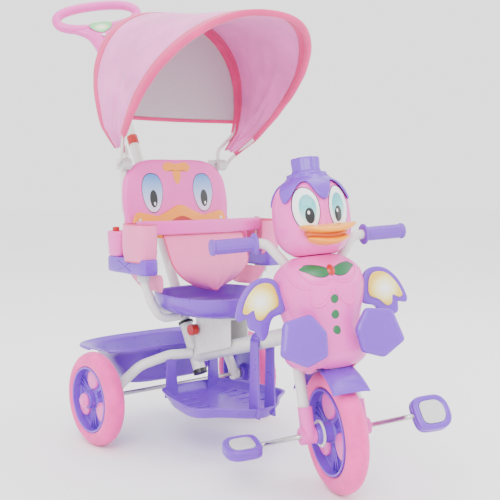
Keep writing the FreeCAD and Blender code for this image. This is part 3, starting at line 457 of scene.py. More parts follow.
def smooth_line(points, count, closed=False):
    """Catmull-Rom line through points."""
    pts = [Vector(p) for p in points]
    n = len(pts)
    out = []
    spans = n if closed else n - 1
    for i in range(count if closed else count + 1):
        t = spans * i / count
        k = min(int(t), spans - 1)
        u = t - k
        def pick(j):
            return pts[j % n] if closed else pts[max(0, min(n - 1, j))]
        p, q, r, s = (pick(k + j) for j in (-1, 0, 1, 2))
        out.append(0.5 * (2 * q + (r - p) * u + (2 * p - 5 * q + 4 * r - s) * u * u + (3 * q - p - 3 * r + s)
                          * u ** 3))
    return out


def slab(outline, thickness, dome=0.0, rings=6, edge=3.0):
    """A pillowed plate: outline points (x, z), front towards -Y, with rounded rims."""
    n = len(outline)
    cx = sum(p[0] for p in outline) / n
    cz = sum(p[1] for p in outline) / n
    def ring(share, y):
        return [Vector((cx + (x - cx) * share, y, cz + (z - cz) * share)) for x, z in outline]
    size = max(abs(x - cx) + abs(z - cz) for x, z in outline)
    inset = edge / size * 1.3
    rows = []
    for k in range(rings):
        share = (k + 1) / rings * (1 - inset)
        rows.append(ring(share, -dome * (1 - share ** 2)))
    for k in range(1, 5):
        t = math.pi / 2 * k / 4
        rows.append(ring(1 - inset * (1 - math.sin(t)), edge * (1 - math.cos(t))))
    rows.append(ring(1.0, thickness - edge))
    for k in range(1, 5):
        t = math.pi / 2 * k / 4
        rows.append(ring(1 - inset * (1 - math.cos(t)), thickness - edge + edge * math.sin(t)))
    rows.append(ring(0.5, thickness))
    return skin(rows)


def decal(outline, height_of, rings=8):
    """A thin film over a surface: outline points (x, z) and y from height_of, with UV across."""
    cx = sum(p[0] for p in outline) / len(outline)
    cz = sum(p[1] for p in outline) / len(outline)
    w = max(p[0] for p in outline) - min(p[0] for p in outline)
    h = max(p[1] for p in outline) - min(p[1] for p in outline)
    low = (min(p[0] for p in outline), min(p[1] for p in outline))
    rows, uvs = [], []
    for k in range(1, rings + 1):
        row = []
        for x, z in outline:
            px, pz = cx + (x - cx) * k / rings, cz + (z - cz) * k / rings
            row.append(Vector((px, height_of(px, pz), pz)))
            uvs.append(((px - low[0]) / w, (pz - low[1]) / h))
        rows.append(row)
    verts, faces = skin(rows, True, (True, False))
    verts[-1] = Vector((cx, height_of(cx, cz), cz))
    uvs.append(((cx - low[0]) / w, (cz - low[1]) / h))
    return verts, faces, uvs


def ellipse(cx, cz, a, b, tilt=0.0, count=40, egg=0.0):
    out = []
    for i in range(count):
        t = TAU * i / count
        x, z = a * math.cos(t) * (1 - egg * math.sin(t)), b * math.sin(t)
        out.append((cx + x * math.cos(tilt) - z * math.sin(tilt), cz + x * math.sin(tilt) + z
                    * math.cos(tilt)))
    return out


def solid(name, rows, mat, body, matrix=None, replaces=(), wrap=True, caps=(True, True), **options):
    """A piece skinned over rows of points."""
    verts, faces = skin(rows, wrap, caps)
    return make(name, verts, faces, mat, body, matrix, replaces, **options)


def film(name, outline, height_of, mat, body, matrix, **options):
    """A decal as a piece."""
    verts, faces, uvs = decal(outline, height_of)
    return make(name, verts, faces, mat, body, matrix, uvs=uvs, **options)


def level(y):
    """Height function of a flat film."""
    return lambda x, z: y


def raised(surface, lift):
    """Height function a little above a surface."""
    return lambda x, z: surface(x, z, lift)


def shape_line(points, count, flip=1):
    """Closed smooth outline through (x, z) points, mirrored when flip is -1."""
    line = smooth_line([Vector((x, 0, z)) for x, z in points], count, True)
    return [(flip * p.x, p.z) for p in line]


# ---- camera and light -------------------------------------------------------------------
def camera():
    cam = bpy.data.objects.new("camera", bpy.data.cameras.new("camera"))
    bpy.context.collection.objects.link(cam)
    cam.data.lens = 62.2
    cam.data.sensor_width = 36
    cam.location = at(-1192, 1774, 631)
    heading = math.radians(51.136)
    pitch = math.radians(-4.94)
    look = Vector((math.cos(heading) * math.cos(pitch), math.sin(heading) * math.cos(pitch), math.sin(pitch)))
    cam.rotation_euler = look.to_track_quat("-Z", "Y").to_euler()
    bpy.context.scene.camera = cam


def area_light(name, place, target, size, power):
    light = bpy.data.lights.new(name, "AREA")
    light.size = size
    light.energy = power
    obj = bpy.data.objects.new(name, light)
    bpy.context.collection.objects.link(obj)
    obj.location = place
    obj.rotation_euler = (Vector(target) - Vector(place)).to_track_quat("-Z", "Y").to_euler()


def studio():
    mesh = bpy.data.meshes.new("floor")
    s = 12
    mesh.from_pydata([(-s, -s, 0), (s, -s, 0), (s, s, 0), (-s, s, 0)], [], [(0, 1, 2, 3)])
    floor = bpy.data.objects.new("floor", mesh)
    bpy.context.collection.objects.link(floor)
    m = Mat("floor_paper", 0.8)
    m.colour(m.ramp(m.noise(3.0), [(0.3, (0.96, 0.96, 0.96, 1)), (0.7, (0.98, 0.98, 0.98, 1))]))
    mesh.materials.append(m.mat)
    world = bpy.data.worlds.new("world")
    world.use_nodes = True
    world.node_tree.nodes["Background"].inputs["Color"].default_value = (1, 1, 1, 1)
    world.node_tree.nodes["Background"].inputs["Strength"].default_value = 2.1
    bpy.context.scene.world = world
    area_light("key", (-2.2, -2.2, 2.6), (0, 0, 0.5), 2.0, 100)
    area_light("top", (0.4, 0.2, 3.4), (0, 0, 0.5), 2.5, 60)
    area_light("fill", (2.6, -1.8, 1.4), (0, -0.1, 0.5), 2.0, 25)


# ---- wheels -----------------------------------------------------------------------------
def tyre_mesh(radius, half, inner):
    """Round foam tyre with a shallow wavy block tread, turned about X, in millimetres."""
    around, across, blocks = 144, 28, 36
    rows = []
    for i in range(around):
        t = TAU * i / around
        ring = []
        for k in range(across):
            s = TAU * k / across
            cr, cx = math.cos(s), math.sin(s)
            r = (radius - half) + half * cr
            x = half * cx
            if cr < -0.2:
                r = max(r, inner)
            depth = 0.0
            if cr > -0.15:
                wave = math.sin(t * blocks + 2.2 * math.sin(cx * 7))
                cell = math.sin(cx * 10 + math.sin(t * blocks) * 0.9)
                depth = -1.5 * max(0.0, wave * cell) - 0.6 * max(0.0, wave)
            r += depth * max(0, cr + 0.2)
            ring.append(Vector((x, r * math.cos(t), r * math.sin(t))))
        rows.append(ring)
    return loop_skin(rows)


def spun_rows(profile, count):
    """Rings about X from (x, radius) points."""
    rows = []
    for x, r in profile:
        rows.append([Vector((x, r * math.cos(TAU * i / count), r * math.sin(TAU * i / count)))
                     for i in range(count)])
    return rows


def ring_spun(profile, count=72):
    """A closed profile turned about X."""
    return loop_skin(spun_rows(profile, count))


def rounded(profile, steps=3, share=0.25):
    """Cut the corners of a closed profile with short arcs."""
    out = []
    n = len(profile)
    for i in range(n):
        p, q, r = Vector(profile[i - 1]), Vector(profile[i]), Vector(profile[(i + 1) % n])
        cut = min((p - q).length, (r - q).length) * share
        a, b = q + (p - q).normalized() * cut, q + (r - q).normalized() * cut
        for k in range(steps + 1):
            u = k / steps
            out.append(tuple((a * (1 - u) ** 2 + q * (2 * u * (1 - u)) + b * u ** 2)))
    return out


TYRE_HALF = 22.5             # half width of the tyre's round section
RIM_SHARE = 0.70             # rim radius as a share of the wheel's


def wheel(name, matrix, body, diameter, hub_half, outer_sides, tyre_node, rim_node):
    radius = diameter / 2
    seat_r = radius * RIM_SHARE
    make(name + "_tyre", *tyre_mesh(radius, TYRE_HALF, seat_r + 0.4), "pink_tyre", body, matrix, (tyre_node,))
    lip = seat_r - 0.1
    profile = [(-21.5, lip - 5), (-21.5, lip), (21.5, lip), (21.5, lip - 5), (9, lip - 7), (7, 24), (10, 20),
               (hub_half, 19.8), (hub_half, 6), (-hub_half, 6), (-hub_half, 19.8), (-10, 20), (-6, 24),
               (-1, lip - 7)]
    rim = make(name + "_rim", *ring_spun(rounded(profile)), "purple_plastic", body, matrix, (rim_node,))
    for side in outer_sides:
        for k in range(3):
            t = TAU * (0.25 + k / 3)
            mid = (21 + lip - 6) / 2
            r = (lip - 6 - 21) / 2 - 2.0
            base = 6.0 if side > 0 else 3.0
            rows = []
            for x, s in ((base - 3, 1.0), (base + 4, 1.0), (base + 6.4, 0.96), (base + 7.4, 0.86),
                         (base + 7.7, 0.5)):
                rows.append([Vector((side * x, mid * math.cos(t) + r * s * math.cos(TAU * i / 32),
                                     mid * math.sin(t) + r * s * math.sin(TAU * i / 32))) for i in range(32)])
            solid(f"{name}_boss_{LETTER[side]}{k + 1}", rows, "pink_plastic", body, matrix)
            # ribs between the bosses
            for j in (-1, 0, 1):
                w = t + TAU / 6 + j * 0.16
                d = Vector((0, math.cos(w), math.sin(w)))
                p0, p1 = d * 20 + Vector((side * (base + 2), 0, 0)), d * (lip - 7) + Vector((side
                        * (base + 3), 0, 0))
                rings = tube_along([p0, (p0 + p1) / 2, p1], 2.0, 10, up=Vector((1, 0, 0)))
                solid(f"{name}_rib_{LETTER[side]}{k + 1}{j + 2}", rings, "purple_plastic", body, matrix)
    return rim


def wheels():
    for side, name in SIDES:
        m = Matrix.Translation(middle("rear_rim_" + name)) @ Matrix.Scale(MM, 4)
        m.translation.y, m.translation.z = REAR_Y, TYRE_R
        wheel("rear_" + name, m, "rear_wheel_" + name, 220, 26, (side,), "rear_tyre_" + name, "rear_rim_"
              + name)
        cap = rounded([(26.1, 0.4), (26.1, 17), (33, 16.4), (34, 11), (38.4, 10), (39, 0.4)], 3, 0.3)
        make("hub_cap_" + name, *ring_spun([(side * x, r) for x, r in cap], 48), "pink_plastic",
             "rear_wheel_" + name, m, ("rear_hub_cap_" + name,))
    wheel("front", FRONT, "front_wheel", 250, 43.2, (1, -1), "front_tyre", "front_rim")
    for side in (1, -1):
        flange = rounded([(side * 30, 21), (side * 30, 27), (side * 34, 27), (side * 34, 21)])
        make(f"hub_flange_{LETTER[side]}", *ring_spun(flange, 48), "cream_paint", "front_wheel", FRONT)


# ---- duck -------------------------------------------------------------------------------
HEAD = [(351, 42, 38), (366, 62, 58), (390, 76, 71), (425, 79, 75), (462, 76, 73), (490, 62, 60),
        (508, 36, 35)]
HEAD_Y = -4.0
BODY = [(118, 42, 40), (138, 76, 66), (165, 86, 74), (212, 77, 66), (255, 88, 72), (292, 94, 75),
        (322, 86, 68),
        (344, 60, 50), (350, 44, 40)]
EYES = [(-34, 440), (34, 440)]
EYE_A, EYE_B = 25.0, 44.0


def section(table, h):
    """Half width and half depth of a body at a height."""
    rows = smooth_steps(table, 80)
    for low, high in zip(rows, rows[1:]):
        if low[0] <= h <= high[0]:
            u = (h - low[0]) / (high[0] - low[0])
            return tuple(a + (b - a) * u for a, b in zip(low[1:], high[1:]))
    return rows[0][1:] if h < rows[0][0] else rows[-1][1:]


HEAD_ROWS = smooth_steps(HEAD, 44)
BODY_ROWS = smooth_steps(BODY, 60)


def hollow(x, z):
    """Depth of the eye hollows at a point on the duck's face."""
    deepest = 0.0
    for cx, cz in EYES:
        d = math.hypot((x - cx) / (EYE_A + 7), (z - cz - 2) / (EYE_B + 9))
        if d < 1.25:
            t = min(1, max(0, (1.25 - d) / 0.35))
            deepest = max(deepest, 5.0 * t * t * (3 - 2 * t))
    return deepest


def head_y(x, z, lift=0.0):
    a, b = section(HEAD, z)
    u = min(0.98, abs(x) / a)
    return HEAD_Y - b * math.sqrt(1 - u * u) + hollow(x, z) - lift


def body_y(x, z, lift=0.0):
    a, b = section(BODY, z)
    u = min(0.98, abs(x) / a)
    return -b * math.sqrt(1 - u * u) - lift


def stud(cz, half_z, low, rise, power):
    """Height function of a small dome, 8 mm half wide, on the front of the body."""
    def height(x, z):
        swell = max(0, 1 - (x / 8) ** 2 - ((z - cz) / half_z) ** 2)
        return body_y(x, z, low + rise * swell ** power)
    return height


def duck_head():
    rows = []
    for h, a, b in HEAD_ROWS:
        ring = oval(0, HEAD_Y, h, a, b, 2.0, 96)
        for v in ring:
            if v.y < HEAD_Y:
                v.y += hollow(v.x, v.z) * min(1, (HEAD_Y - v.y) / 20)
        rows.append(ring)
    top = rows[-1]
    for share, up in ((0.8, 3.5), (0.5, 6), (0.2, 7.4)):
        rows.append([Vector((v.x * share, HEAD_Y + (v.y - HEAD_Y) * share, top[0].z + up)) for v in top])
    solid("duck_head_shell", rows, "pink_plastic", "fork", FRONT, ("duck_head",), subdiv=1)
    for k, (cx, cz) in enumerate(EYES):
        lean = 0.05 if cx < 0 else -0.05
        layers = (
            ("rim", ellipse(cx, cz, EYE_A, EYE_B, lean), 0.25, "dark_line"),
            ("white", ellipse(cx, cz, EYE_A - 1.6, EYE_B - 1.8, lean), 0.55, "eye_white"),
            ("iris", ellipse(cx * 0.94, cz, 15.5, 28, lean), 0.85, "iris"),
            ("pupil", ellipse(cx * 0.88, cz - 14, 8.6, 15.5, lean), 1.15, "ink_black"),
            ("glint", ellipse(cx * 0.88 - 2, cz - 8, 2.2, 3.6, lean), 1.4, "eye_white"),
        )
        for part, outline, lift, mat in layers:
            film(f"eye_{k + 1}_{part}", outline, raised(head_y, lift), mat, "fork", FRONT)


def blob(cx, cy, cz, a, b, c, shape=lambda v: v, rings=20, count=48, power=2.3):
    rows = []
    for i in range(1, rings):
        t = -math.pi / 2 + math.pi * i / rings
        r, z = math.cos(t) ** 0.8, math.sin(t)
        rows.append([shape(v) for v in oval(cx, cy, cz + c * z, a * r, b * r, power, count)])
    return skin(rows)


def duck_bill():
    """Wide bill: an upper lip that curls up at its corners, a lower lip and a dark orange mouth."""
    def upper(v):
        u = v.x / 57
        w = (-62 - v.y) / 60
        v.z += 10 * u * u - 5 * max(0, w) ** 2 + 5 * math.exp(-(u * 2.6) ** 2) * max(0, 1 - w)
        return v
    def lower(v):
        u = v.x / 44
        v.z += 9 * u * u + 2
        return v
    make("bill_upper", *blob(0, -80, 396, 57, 37, 8.5, upper), "yellow_plastic", "fork", FRONT,
         ("duck_bill",), subdiv=1)
    make("bill_lower", *blob(0, -76, 371, 43, 31, 7.5, lower), "yellow_plastic", "fork", FRONT, subdiv=1)
    def mouth(v):
        u = v.x / 44
        v.z += 8 * u * u
        return v
    make("bill_mouth", *blob(0, -66, 384, 43, 33, 13, mouth), "orange_plastic", "fork", FRONT, subdiv=1)


CROWN_TOP, CROWN_HEM, CROWN_DROP = 512, 495, 40   # top, upper hem, and depth of the six scallops


def duck_crown():
    """Scalloped cap that drapes over the head, under a short fluted stub."""
    count, steps = 120, 16
    rows = []
    for k in range(steps + 1):
        share = k / steps
        row = []
        for i in range(count):
            t = TAU * i / count
            lobe = 0.5 + 0.5 * math.cos(6 * (t + math.pi / 2))
            low = CROWN_HEM - CROWN_DROP * lobe ** 1.4
            h = CROWN_TOP - (CROWN_TOP - low) * share
            a, b = section(HEAD, min(h, 507))
            lift = 2.6 if k < steps else 0.4
            row.append(Vector(((a + lift) * math.cos(t), HEAD_Y + (b + lift) * math.sin(t), h
                               + (2.6 if k < 3 else 0))))
        rows.append(row)
    rows.insert(0, [Vector((v.x * 0.62, HEAD_Y + (v.y - HEAD_Y) * 0.62, 519)) for v in rows[0]])
    solid("crown_cap", rows, "purple_plastic", "fork", FRONT, ("duck_crown",), thick=1.6, caps=(True, False))
    rows = []
    for h, r in ((511, 36), (518, 31), (523, 28.5), (542, 29.5), (547, 28.5), (548, 25), (546, 21), (545, 9)):
        rows.append([Vector(((r + 1.1 * math.cos(8 * TAU * i / 96)) * math.cos(TAU * i / 96),
                             HEAD_Y + (r + 1.1 * math.cos(8 * TAU * i / 96)) * math.sin(TAU * i / 96), h))
                     for i in range(96)])
    solid("crown_stub", rows, "purple_plastic", "fork", FRONT)


def duck_body():
    rows = []
    for h, a, b in BODY_ROWS:
        rows.append(oval(0, 0, h, a, b, 2.05, 96))
    verts, faces = skin(rows, True, (False, True))
    # the main tube sweeps the opening at the back as the fork turns; the wheel stands in the well below
    gate_low, gate_high, gate_half = 117.0, 255.0, 66
    well_r, well_half = 138, 41
    keep = []
    for f in faces:
        c = sum((verts[i] for i in f), Vector()) / len(f)
        angle = abs(math.degrees(math.atan2(c.x, c.y - SETBACK)))
        at_gate = c.y > 0 and angle < gate_half and gate_low < c.z < gate_high
        in_well = c.z < 150 and math.hypot(c.y, c.z) < well_r and abs(c.x) < well_half
        if not (at_gate or in_well):
            keep.append(f)
    make("duck_body_shell", verts, keep, "pink_plastic", "fork", FRONT, ("duck_body",), thick=4.0, subdiv=1,
         offset=-1.0)
    def tapered(u):
        """Bead radius along a relief line, thin at both ends."""
        return 2.6 * (0.35 + 0.65 * math.sin(math.pi * min(1, max(0, u))))
    # relief collar in two tiers and a lapel, each side
    for side in (-1, 1):
        for name, pts in (
            ("collar_in", [(2, 300), (18, 294), (40, 297), (54, 308), (62, 322)]),
            ("collar_out", [(44, 284), (62, 290), (74, 304), (79, 318)]),
            ("lapel", [(3, 281), (14, 262), (30, 250), (44, 256), (46, 284)]),
        ):
            line = smooth_line([Vector((side * x, 0, z)) for x, z in pts], 28)
            line = [Vector((p.x, body_y(p.x, p.z, 0.6), p.z)) for p in line]
            solid(f"{name}_{LETTER[side]}", tube_along(line, tapered, 12), "pink_plastic", "fork", FRONT)
    for side in (-1, 1):
        bow = [(4, 318), (14, 325), (30, 330), (46, 331), (58, 324), (48, 318), (32, 308), (16, 306),
               (6, 311)]
        for part, grow, lift, mat in (("edge", 1.08, 0.6, "dark_line"), ("leaf", 1.0, 1.1, "green_plastic")):
            outline = [(side * (30 + (x - 30) * grow), 318 + (z - 318) * grow) for x,
                       z in shape_line(bow, 44)]
            film(f"bow_{part}_{LETTER[side]}", outline, raised(body_y, lift), mat, "fork", FRONT)
    film("bow_knot", ellipse(0, 318, 8, 11), stud(318, 11, 1.4, 2.5, 1), "red_plastic", "fork", FRONT)
    for k, z0 in enumerate((262, 232, 202)):
        film(f"button_{k + 1}", ellipse(0, z0, 8, 8.6), stud(z0, 8.6, 0.3, 1.8, 0.5), "green_plastic", "fork",
             FRONT)


WING = [(84, 250), (92, 300), (112, 316), (142, 312), (168, 288), (184, 252), (180, 238), (164, 244),
        (160, 222), (148, 214), (138, 196), (126, 204), (112, 236)]
WING_PRINT = [(98, 262), (102, 294), (116, 306), (140, 302), (160, 282), (172, 256), (164, 250), (150, 256),
              (146, 240),
              (134, 236), (118, 250)]
FOOT = [(-50, -22), (-34, 40), (22, 50), (50, 12), (44, -34), (0, -50)]


def limbs():
    for side, tag in SIDES:
        line = shape_line(WING, 90, side)
        verts, faces = slab(line, 12, 1.5, 6, 3.5)
        m = FRONT @ Matrix.Translation((0, -22, 0))
        make("wing_" + tag, verts, faces, "purple_plastic", "fork", m, ("wings",) if side > 0 else ())
        film("wing_print_" + tag, shape_line(WING_PRINT, 70, side), level(-2.6), "wing_print", "fork", m,
             thick=1.2)
        pts = []
        n = len(FOOT)
        for i, p in enumerate(FOOT):
            q, r = Vector(FOOT[i - 1]), Vector(FOOT[(i + 1) % n])
            p = Vector(p)
            for u in (0.22, 0.12, 0.05):
                pts.append(p + (q - p) * u + (r - p) * max(0, 0.1 - u) * 0.4)
            for u in (0.05, 0.12, 0.22):
                pts.append(p + (r - p) * u + (q - p) * max(0, 0.1 - u) * 0.4)
        outline = [((p.x if side < 0 else -p.x), p.y) for p in pts]
        verts, faces = slab(outline, 14, 4.0, 6, 5.0)
        m = FRONT @ Matrix.Translation((side * 80, -94, 190)) @ Matrix.Rotation(math.radians(-8), 4, "X")
        make("foot_" + tag, verts, faces, "purple_plastic", "fork", m, ("foot_plates",) if side > 0 else ())


def fender():
    r = 134.0
    rows = []
    for k in range(49):
        t = math.radians(38 + 104 * k / 48)
        flare = 1 + 0.10 * (abs(k - 24) / 24) ** 3
        row = []
        for j in range(17):
            u = -1 + 2 * j / 16
            drop = 4.5 * abs(u) ** 4
            row.append(Vector((36 * flare * u, -(r + 1.5 - drop) * math.cos(t), (r + 1.5 - drop)
                               * math.sin(t))))
        rows.append(row)
    solid("mudguard", rows, "purple_plastic", "fork", FRONT, ("front_fender",), thick=3.0, subdiv=1,
          wrap=False, caps=OPEN)


GRIP_Y, GRIP_UP = SETBACK - 6, 386       # handlebar line, from the front axle


def grips():
    for side, tag in SIDES:
        rows = []
        count = 72
        prof = [(212, 3), (212, 11), (211, 15), (208.5, 16.3), (205, 16.5), (203, 14.2)]
        for k in range(23):
            prof.append((201 - k * 3.4, 14.6 if k % 2 else 13.6))
        prof += [(124, 14.2), (122.5, 20), (121, 21.5), (118.5, 21.5), (117, 20), (117, 10.5)]
        for x, r in prof:
            ring = []
            for i in range(count):
                t = TAU * i / count
                groove = 0.5 * math.cos(12 * t) if 130 < x < 200 else 0
                ring.append(Vector((side * x, GRIP_Y + (r + groove) * math.cos(t), GRIP_UP + (r + groove)
                                    * math.sin(t))))
            rows.append(ring)
        solid("grip_" + tag, rows, "purple_grip", "fork", FRONT, ("grips",) if side > 0 else (),
              caps=(True, False))


def pedals():
    for name, lean in (("left", 62.0), ("right", 20.0)):
        side = 1 if name == "left" else -1
        place = Vector(joint(f"pedal_{name}_spin")["pos_m"])
        m = FRONT.copy()
        m.translation = place
        m = m @ Matrix.Rotation(math.radians(lean), 4, "X")
        count = 64
        def ring(a, b, z):
            out = []
            for v in oval(0, 0, z, a, b, 4.0, count):
                if v.x * side > 0:
                    v.x *= 1.0 - 0.22 * (v.y / b) ** 2
                out.append(v)
            return out
        rows = [ring(24, 22, -8.2), ring(26, 24, -8.4), ring(28, 26, -11.2), ring(36, 32, -11.4),
                ring(38.6, 34.6, -9),
                ring(39, 35, -5), ring(39, 35, -0.6), ring(38.4, 34.4, 0), ring(39, 35, 0.6), ring(39, 35, 5),
                ring(38.6, 34.6, 9), ring(36, 32, 11.4), ring(28, 26, 11.2), ring(26, 24, 8.4),
                ring(24, 22, 8.2)]
        solid("pedal_frame_" + name, rows, "purple_plastic", "pedal_" + name, m, ("pedal_" + name,))
        for face, tag in ((1, "a"), (-1, "b")):
            rows = [ring(25.5, 23.5, face * 8.2), ring(25.5, 23.5, face * 10.6),
                    ring(24.5, 22.5, face * 11.4),
                    ring(12, 11, face * 11.7)]
            solid(f"pedal_pad_{name}_{tag}", rows, "grey_plastic", "pedal_" + name, m)


# ---- canopy -----------------------------------------------------------------------------
CANOPY_HALF, HOOP_X = 203.0, 140.0
FRONT_R, FRONT_A, REAR_R, REAR_A = 484.0, 50.0, 362.0, -5.0
FRONT_FOOT, REAR_FOOT = 0.05, 0.05   # where the cloth starts, as a share of each hoop


def hoop_point(share, radius, side, grow=0.0):
    """(out, up) on a hoop in its own plane, share 0 at the foot and 1 at the top."""
    half = HOOP_X + 10
    if share < 0.18:
        out = half + (CANOPY_HALF - 12 - half) * (share / 0.18)
        up = radius * 0.16 * (share / 0.18) + 22
    else:
        u = (share - 0.18) / 0.82
        angle = -0.42 + u * (math.pi / 2 + 0.42)
        out = (CANOPY_HALF + grow) * max(math.cos(angle), 0) ** 0.86
        if angle >= 0:
            up = radius * 0.50 + (radius * 0.50 + grow) * math.sin(angle)
        else:
            up = radius * 0.50 + (radius * 0.50 - radius * 0.16 - 22) * math.sin(angle) / math.sin(0.42)
    return side * out, up


def in_plane(out, up, lean, lift=0.0):
    a = math.radians(lean)
    return PIVOT + Vector((out, -up * math.sin(a) - lift * math.cos(a), up * math.cos(a) - lift
                           * math.sin(a))) * MM


def hoop_line(radius, lean, grow, low, count):
    """Evenly spaced points along a hoop from the right foot over the top to the left foot."""
    raw = []
    for k in range(241):
        u = -1 + 2 * k / 240
        share = low + (1 - low) * (1 - abs(u))
        raw.append(in_plane(*hoop_point(share, radius, -1 if u < 0 else 1, grow), lean))
    lengths = [0.0]
    for p, q in zip(raw, raw[1:]):
        lengths.append(lengths[-1] + (q - p).length)
    out = []
    j = 0
    for k in range(count + 1):
        want = lengths[-1] * k / count
        while j < len(lengths) - 2 and lengths[j + 1] < want:
            j += 1
        span = lengths[j + 1] - lengths[j]
        out.append(raw[j].lerp(raw[j + 1], (want - lengths[j]) / span if span else 0))
    return out


def canopy_weights(obj):
    """The cloth turns with the front hoop in step with its angle round the pivot."""
    attribute = obj.data.attributes["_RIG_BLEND"]
    first, last = math.radians(REAR_A), math.radians(FRONT_A)
    for v, datum in zip(obj.data.vertices, attribute.data):
        d = v.co - PIVOT
        lean = math.atan2(-d.y, d.z)
        datum.value = min(1.0, max(0.0, (lean - first) / (last - first)))


def apply_modifiers(obj):
    dg = bpy.context.evaluated_depsgraph_get()
    mesh = bpy.data.meshes.new_from_object(obj.evaluated_get(dg))
    obj.modifiers.clear()
    obj.data = mesh


def fan(obj):
    apply_modifiers(obj)
    obj.parent = None
    start = in_plane(0, REAR_R, REAR_A)
    end = in_plane(0, FRONT_R, FRONT_A)
    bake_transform(obj, "seat_unit", "front_hoop", start=tuple(start), end=tuple(end))
    canopy_weights(obj)


def free_mesh(name, verts, faces, mat, thick):
    """A cloth piece that is blended afterwards, so it rides on nothing yet."""
    mesh = bpy.data.meshes.new(name)
    mesh.from_pydata([tuple(v) for v in verts], [], faces)
    obj = bpy.data.objects.new(name, mesh)
    bpy.context.collection.objects.link(obj)
    mesh.materials.append(M[mat])
    for p in mesh.polygons:
        p.use_smooth = True
    s = obj.modifiers.new("thick", "SOLIDIFY")
    s.thickness = thick * MM
    s.offset = 0.0
    return obj


def sheet_rows(grow, across, along):
    rear = hoop_line(REAR_R, REAR_A, grow, REAR_FOOT, across)
    front = hoop_line(FRONT_R, FRONT_A, grow, FRONT_FOOT, across)
    rows = []
    for k in range(along + 1):
        v = k / along
        row = []
        for i, (p, q) in enumerate(zip(rear, front)):
            u = -1 + 2 * i / across
            low = max(0.0, abs(u) - 0.45) / 0.55
            point = p.lerp(q, v)
            belly = math.sin(math.pi * v)
            inward = (PIVOT + Vector((0, -0.12, 0.22)) - point).normalized()
            sag = 3.0 + 4.0 * low
            folds = math.sin(9 * u + 5 * v) * 1.2 + math.sin(31 * v + 14 * abs(u)) * 2.6 * low
            creases = noise.noise(Vector((u * 7, v * 8, 3.7))) * (4 + 8 * low)
            point = point + inward * (belly * (sag + folds + creases)) * MM
            row.append(point)
        rows.append(row)
    return rows


def canopy():
    rows = sheet_rows(6.6, 160, 60)
    verts, faces = skin(rows, False, OPEN)
    top = free_mesh("canopy_top", verts, faces, "canopy_cloth", thick=0.9)
    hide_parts("canopy_fabric")
    fan(top)
    # hems: a band on the outside of the cloth that folds round each hoop
    over, under = sheet_rows(7.7, 160, 60), sheet_rows(5.2, 160, 60)
    for name, lean, radius, low, way, laid, lining in (
            ("front", FRONT_A, FRONT_R, FRONT_FOOT, 1, over[-6:], under[-3:-8:-1]),
            ("rear", REAR_A, REAR_R, REAR_FOOT, -1, over[5::-1], under[2:7])):
        a = math.radians(lean)
        ahead = Vector((0, -math.cos(a), -math.sin(a))) * way * MM
        rows = list(laid)
        for grow, forward in ((7.0, 2.2), (4.6, 5.4), (0, 6.9), (-4.6, 5.4), (-6.6, 1.0), (-6.0, -4.0)):
            rows.append([p + ahead * (forward + 0.5 * math.sin(k * 0.6)) for k, p in
                         enumerate(hoop_line(radius, lean, grow, low, 160))])
        rows += lining
        verts, faces = skin(rows, False, OPEN)
        fan(free_mesh(f"canopy_hem_{name}", verts, faces, "canopy_hem", thick=1.0))


def rear_window():
    line = hoop_line(REAR_R, REAR_A, -3.0, 0.24, 80)
    n = len(line)
    rows = []
    rungs = 40
    half = n // 2
    for k in range(half):
        p, q = line[k], line[n - 1 - k]
        row = []
        for j in range(rungs + 1):
            u = j / rungs
            point = p.lerp(q, u)
            h = k / half
            point = point + Vector((0, 6 * math.sin(math.pi * u) * math.sin(math.pi * min(1, h + 0.15)) * MM,
                                    -2.5 * math.sin(math.pi * u) * (1 - h) * MM))
            row.append(point)
        rows.append(row)
    verts, faces = skin(rows, False, OPEN)
    uvs = [(v.x, v.z) for v in verts]
    pane = make("window_pane", verts, faces, "window_mesh", "seat_unit", replaces=("rear_window",), uvs=uvs,
                thick=0.7)
    strip = rows[0]
    solid("window_trim", tube_along([p + Vector((0, 0, -0.002)) for p in strip], 4.6 * MM, 14, squash_z=1.0),
          "canopy_hem", "seat_unit")


# ---- seat unit --------------------------------------------------------------------------
SEAT_AHEAD = 168             # middle of the seat, ahead of the rear axle


def seat():
    c = -SEAT_AHEAD
    sections = [(0, c, 312.3, 40, 45, 2.4), (0, c, 312.3, 84, 98, 2.5), (0, c, 315, 98, 112, 2.6),
                (0, c, 329, 123, 134, 2.6), (0, c, 346, 128, 137, 2.6), (0, c, 358, 131, 139.5, 2.6),
                (0, c, 361.5, 130, 139, 2.6), (0, c, 362, 127, 136, 2.6), (0, c, 358, 124, 132, 2.6),
                (0, c, 346, 120, 129, 2.6), (0, c, 330, 112, 122, 2.5), (0, c, 321, 94, 106, 2.5),
                (0, c, 318, 76, 88, 2.4), (0, c, 317, 40, 45, 2.3)]
    rows = [oval(cx, cy, z, a, b, power, 96) for cx, cy, z, a, b, power in sections]
    rows = [[from_axle(v) for v in row] for row in rows]
    solid("seat_shell", rows, "purple_plastic", "seat_unit", replaces=("seat_pan",), subdiv=1)


def back_matrix():
    return Matrix.Translation(at(0, 30, 482)) @ Matrix.Rotation(math.radians(-8), 4, "X") @ Matrix.Scale(MM,
            4)


BACK = [(-135, 6), (0, 0), (135, 6), (148.5, 57), (150, 104), (138, 152), (93, 186), (0, 190), (-93, 186),
        (-138, 152),
        (-150, 104), (-148.5, 57)]
BEAK = [(-128, 10), (-60, -2), (0, -6), (60, -2), (128, 10), (136, 40), (120, 62), (78, 50), (40, 62),
        (0, 78),
        (-40, 62), (-78, 50), (-120, 62), (-136, 40)]


